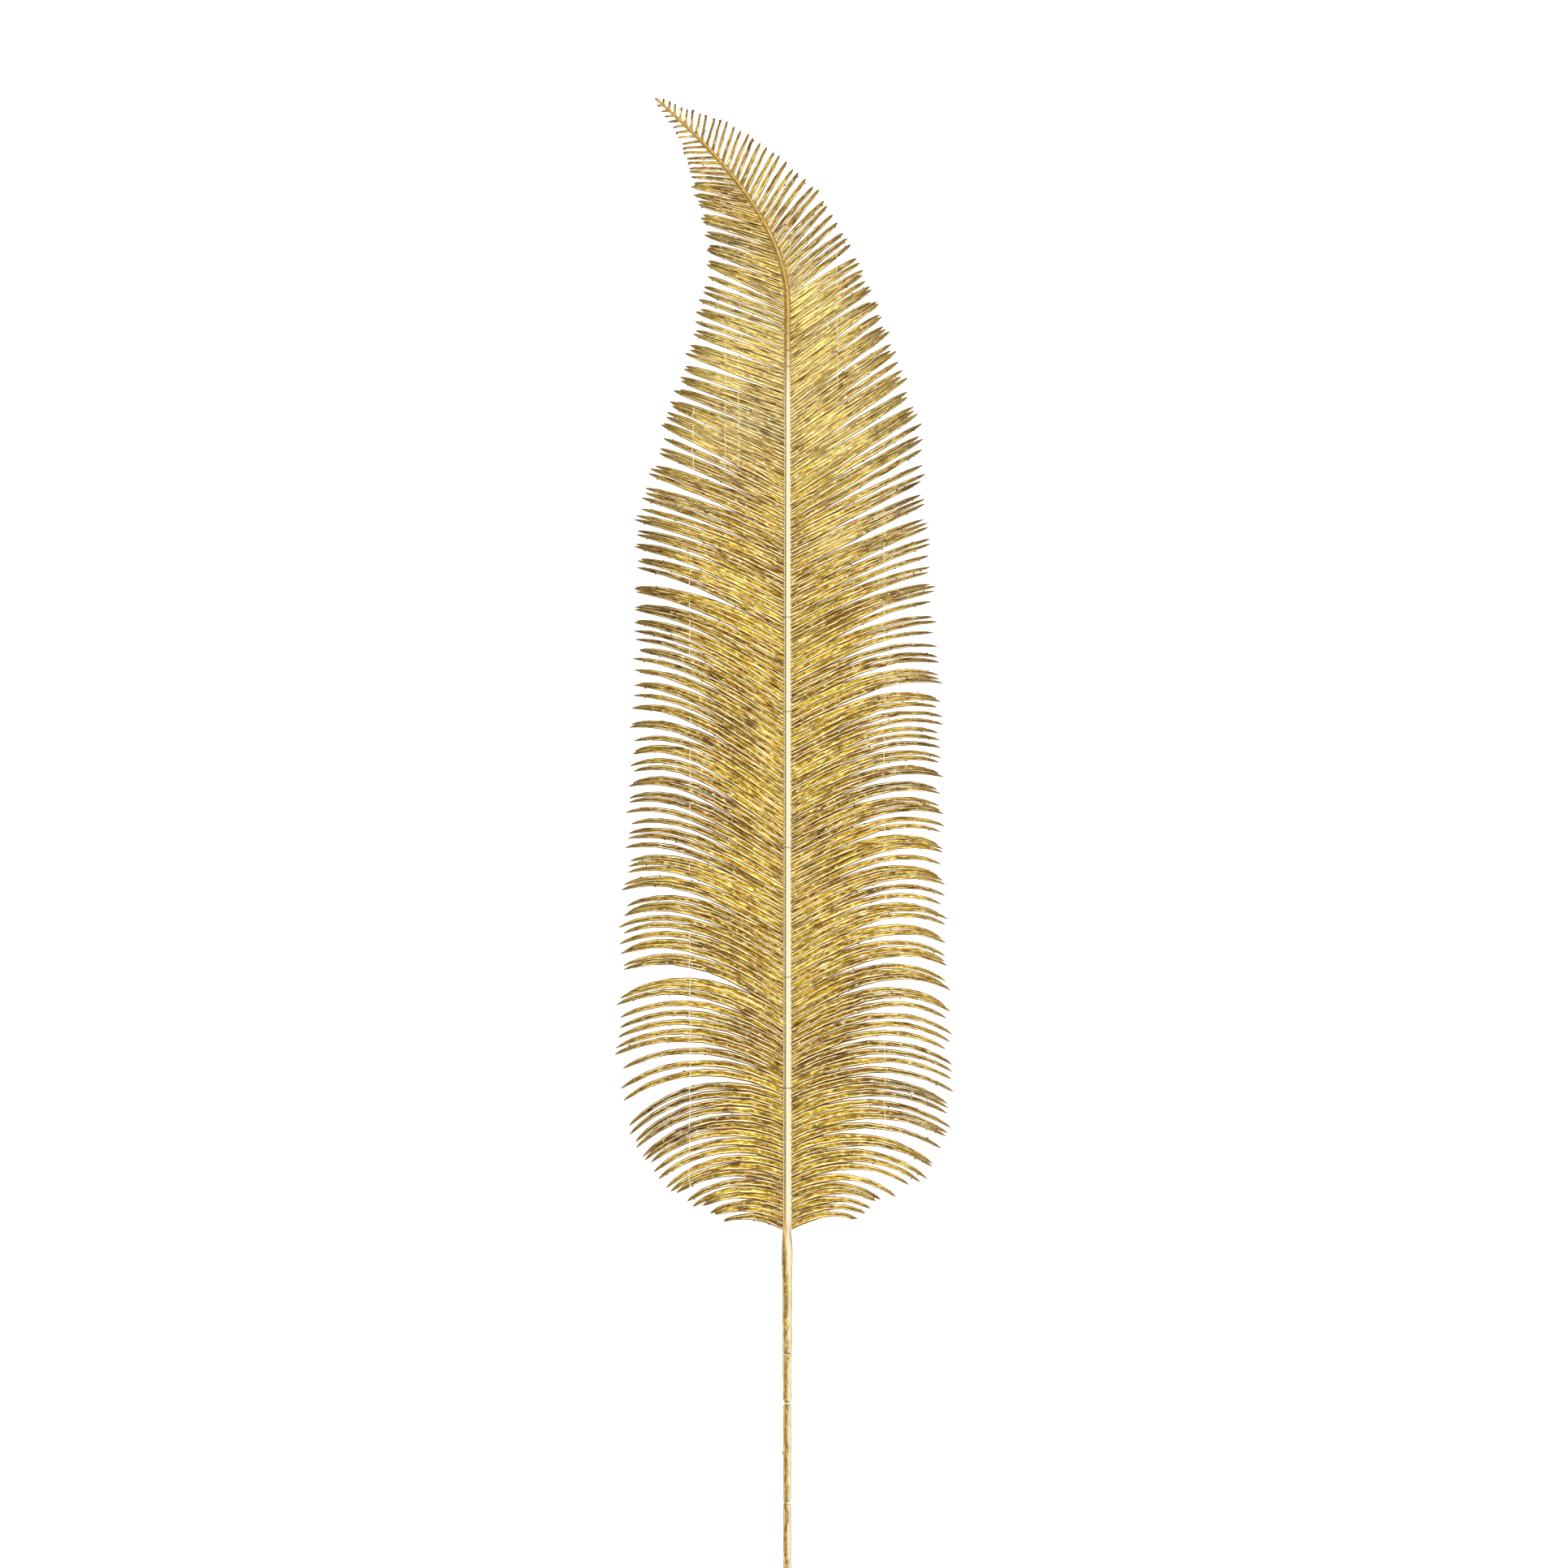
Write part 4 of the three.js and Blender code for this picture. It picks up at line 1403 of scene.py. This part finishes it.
@dataclass
class Studio:
    """A pale floor, soft light from above and the right, and a camera that looks straight down."""

    frame_width: float = 966 * MM
    middle: tuple[float, float] = (-2 * MM, 289.5 * MM)
    leaf_height: float = 6 * MM
    lens_mm: float = 100
    sensor_mm: float = 36
    floor_side: float = 30.0
    floor_drop: float = 0.1 * MM
    floor_colour: str = "#F7F7F7"
    floor_glow: str = "#FFFCF4"
    floor_strength: float = 0.97
    key_place: tuple[float, float, float] = (0.3, 0.5, 3.3)
    key_side: float = 5.5
    key_energy: float = 112.0
    room_strength: float = 0.85

    def build(self) -> None:
        """Makes the floor, lights, world and camera."""
        self.floor()
        self.light("key", self.key_place, self.key_side, self.key_energy)
        self.world()
        distance = self.frame_width / self.sensor_mm * self.lens_mm
        camera = bpy.data.cameras.new("camera")
        camera.lens, camera.sensor_width = self.lens_mm, self.sensor_mm
        seen = bpy.data.objects.new("camera", camera)
        seen.location = (*self.middle, distance + self.leaf_height)
        bpy.context.scene.collection.objects.link(seen)
        bpy.context.scene.camera = seen
        bpy.context.scene.view_settings.view_transform = "Standard"

    def floor(self) -> None:
        """A white opal sheet lit from below, which leaves only faint shadows under the leaf."""
        half = self.floor_side / 2
        corners = [(-half, -half, 0), (half, -half, 0), (half, half, 0), (-half, half, 0)]
        mesh = bpy.data.meshes.new("floor")
        mesh.from_pydata(corners, [], [(0, 1, 2, 3)])
        floor = bpy.data.objects.new("floor", mesh)
        floor.location.z = -self.floor_drop
        bpy.context.scene.collection.objects.link(floor)
        material, tree = blank_material("white opal acrylic sheet, lit from below")
        shader = add_node(tree, "ShaderNodeBsdfPrincipled", {
            "Base Color": linear(self.floor_colour), "Roughness": 0.9, "Specular IOR Level": 0.1,
            "Emission Color": linear(self.floor_glow), "Emission Strength": self.floor_strength})
        add_node(tree, "ShaderNodeOutputMaterial", {"Surface": shader.outputs["BSDF"]})
        mesh.materials.append(material)

    def light(self, name: str, place: tuple[float, float, float], side: float, energy: float) -> None:
        """A square soft light aimed at the middle of the leaf.

        Args:
            name: the light's name.
            place: where it hangs.
            side: its side in metres.
            energy: its power in watts.
        """
        lamp = bpy.data.lights.new(name, "AREA")
        lamp.shape, lamp.size, lamp.energy = "SQUARE", side, energy
        holder = bpy.data.objects.new(name, lamp)
        holder.location = place
        aim = Vector((*self.middle, 0)) - Vector(place)
        holder.rotation_euler = aim.to_track_quat("-Z", "Y").to_euler()
        bpy.context.scene.collection.objects.link(holder)

    def world(self) -> None:
        """A grey room, darker near the horizon and light overhead."""
        world = bpy.data.worlds.new("studio")
        world.use_nodes = True
        tree = world.node_tree
        tree.nodes.clear()
        way = add_node(tree, "ShaderNodeTexCoord").outputs["Generated"]
        split = add_node(tree, "ShaderNodeSeparateXYZ", {"Vector": way})
        shade = add_node(tree, "ShaderNodeValToRGB", {"Fac": split.outputs["Z"]}, stops=(
            (0.0, "#6A6458"), (0.5, "#A9A498"), (0.8, "#DCD9D2"), (0.95, "#FFFFFF")))
        glow = add_node(tree, "ShaderNodeBackground", {
            "Color": shade.outputs["Color"], "Strength": self.room_strength})
        add_node(tree, "ShaderNodeOutputWorld", {"Surface": glow.outputs["Background"]})
        bpy.context.scene.world = world


def place_piece(piece: bpy.types.Object, node: str) -> None:
    """Rides a piece on the one body, for a node of the frame, and hides that node.

    Args:
        piece: the new piece.
        node: the node that it replaces.
    """
    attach(piece, "root")
    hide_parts(node)
    log.info("%s: %d faces for %s", piece.name, len(piece.data.polygons), node)


def main() -> None:
    """Builds the leaf and the studio."""
    logging.basicConfig(level=logging.INFO)
    rib = Midrib()
    leaflet_look = GildedLeaflets().material()
    stem_look = GildedStem("midrib and stem").material()
    for side, rows, partings in (
        (Side.RIGHT, RIGHT_LEAFLETS, RIGHT_PARTINGS),
        (Side.LEFT, LEFT_LEAFLETS, LEFT_PARTINGS),
    ):
        row = LeafletRow(side, rib, np.array(rows, float), np.array(partings, float))
        shell = row.blades().joined(row.thorns()).joined(row.bars())
        shell.marks["pale"] = patched(shell, PALE_PATCHES)
        shell.marks["deep"] = patched(shell, DEEP_PATCHES)
        place_piece(shell.made(f"leaflets_{side.name.lower()}", leaflet_look), "frond")
    moulding = MidribMoulding(rib).shell().made("midrib_and_stalk", stem_look)
    place_piece(moulding, "frond")
    cover = StemCover(rib).shell().made("stem_cover_crumpled", stem_look)
    place_piece(cover, "stem_cover")
    wire = CoreWire(rib).shell().made("core_wire_round", DrawnSteel().material())
    place_piece(wire, "core_wire")
    Studio().build()


if __name__ == "__main__":
    main()
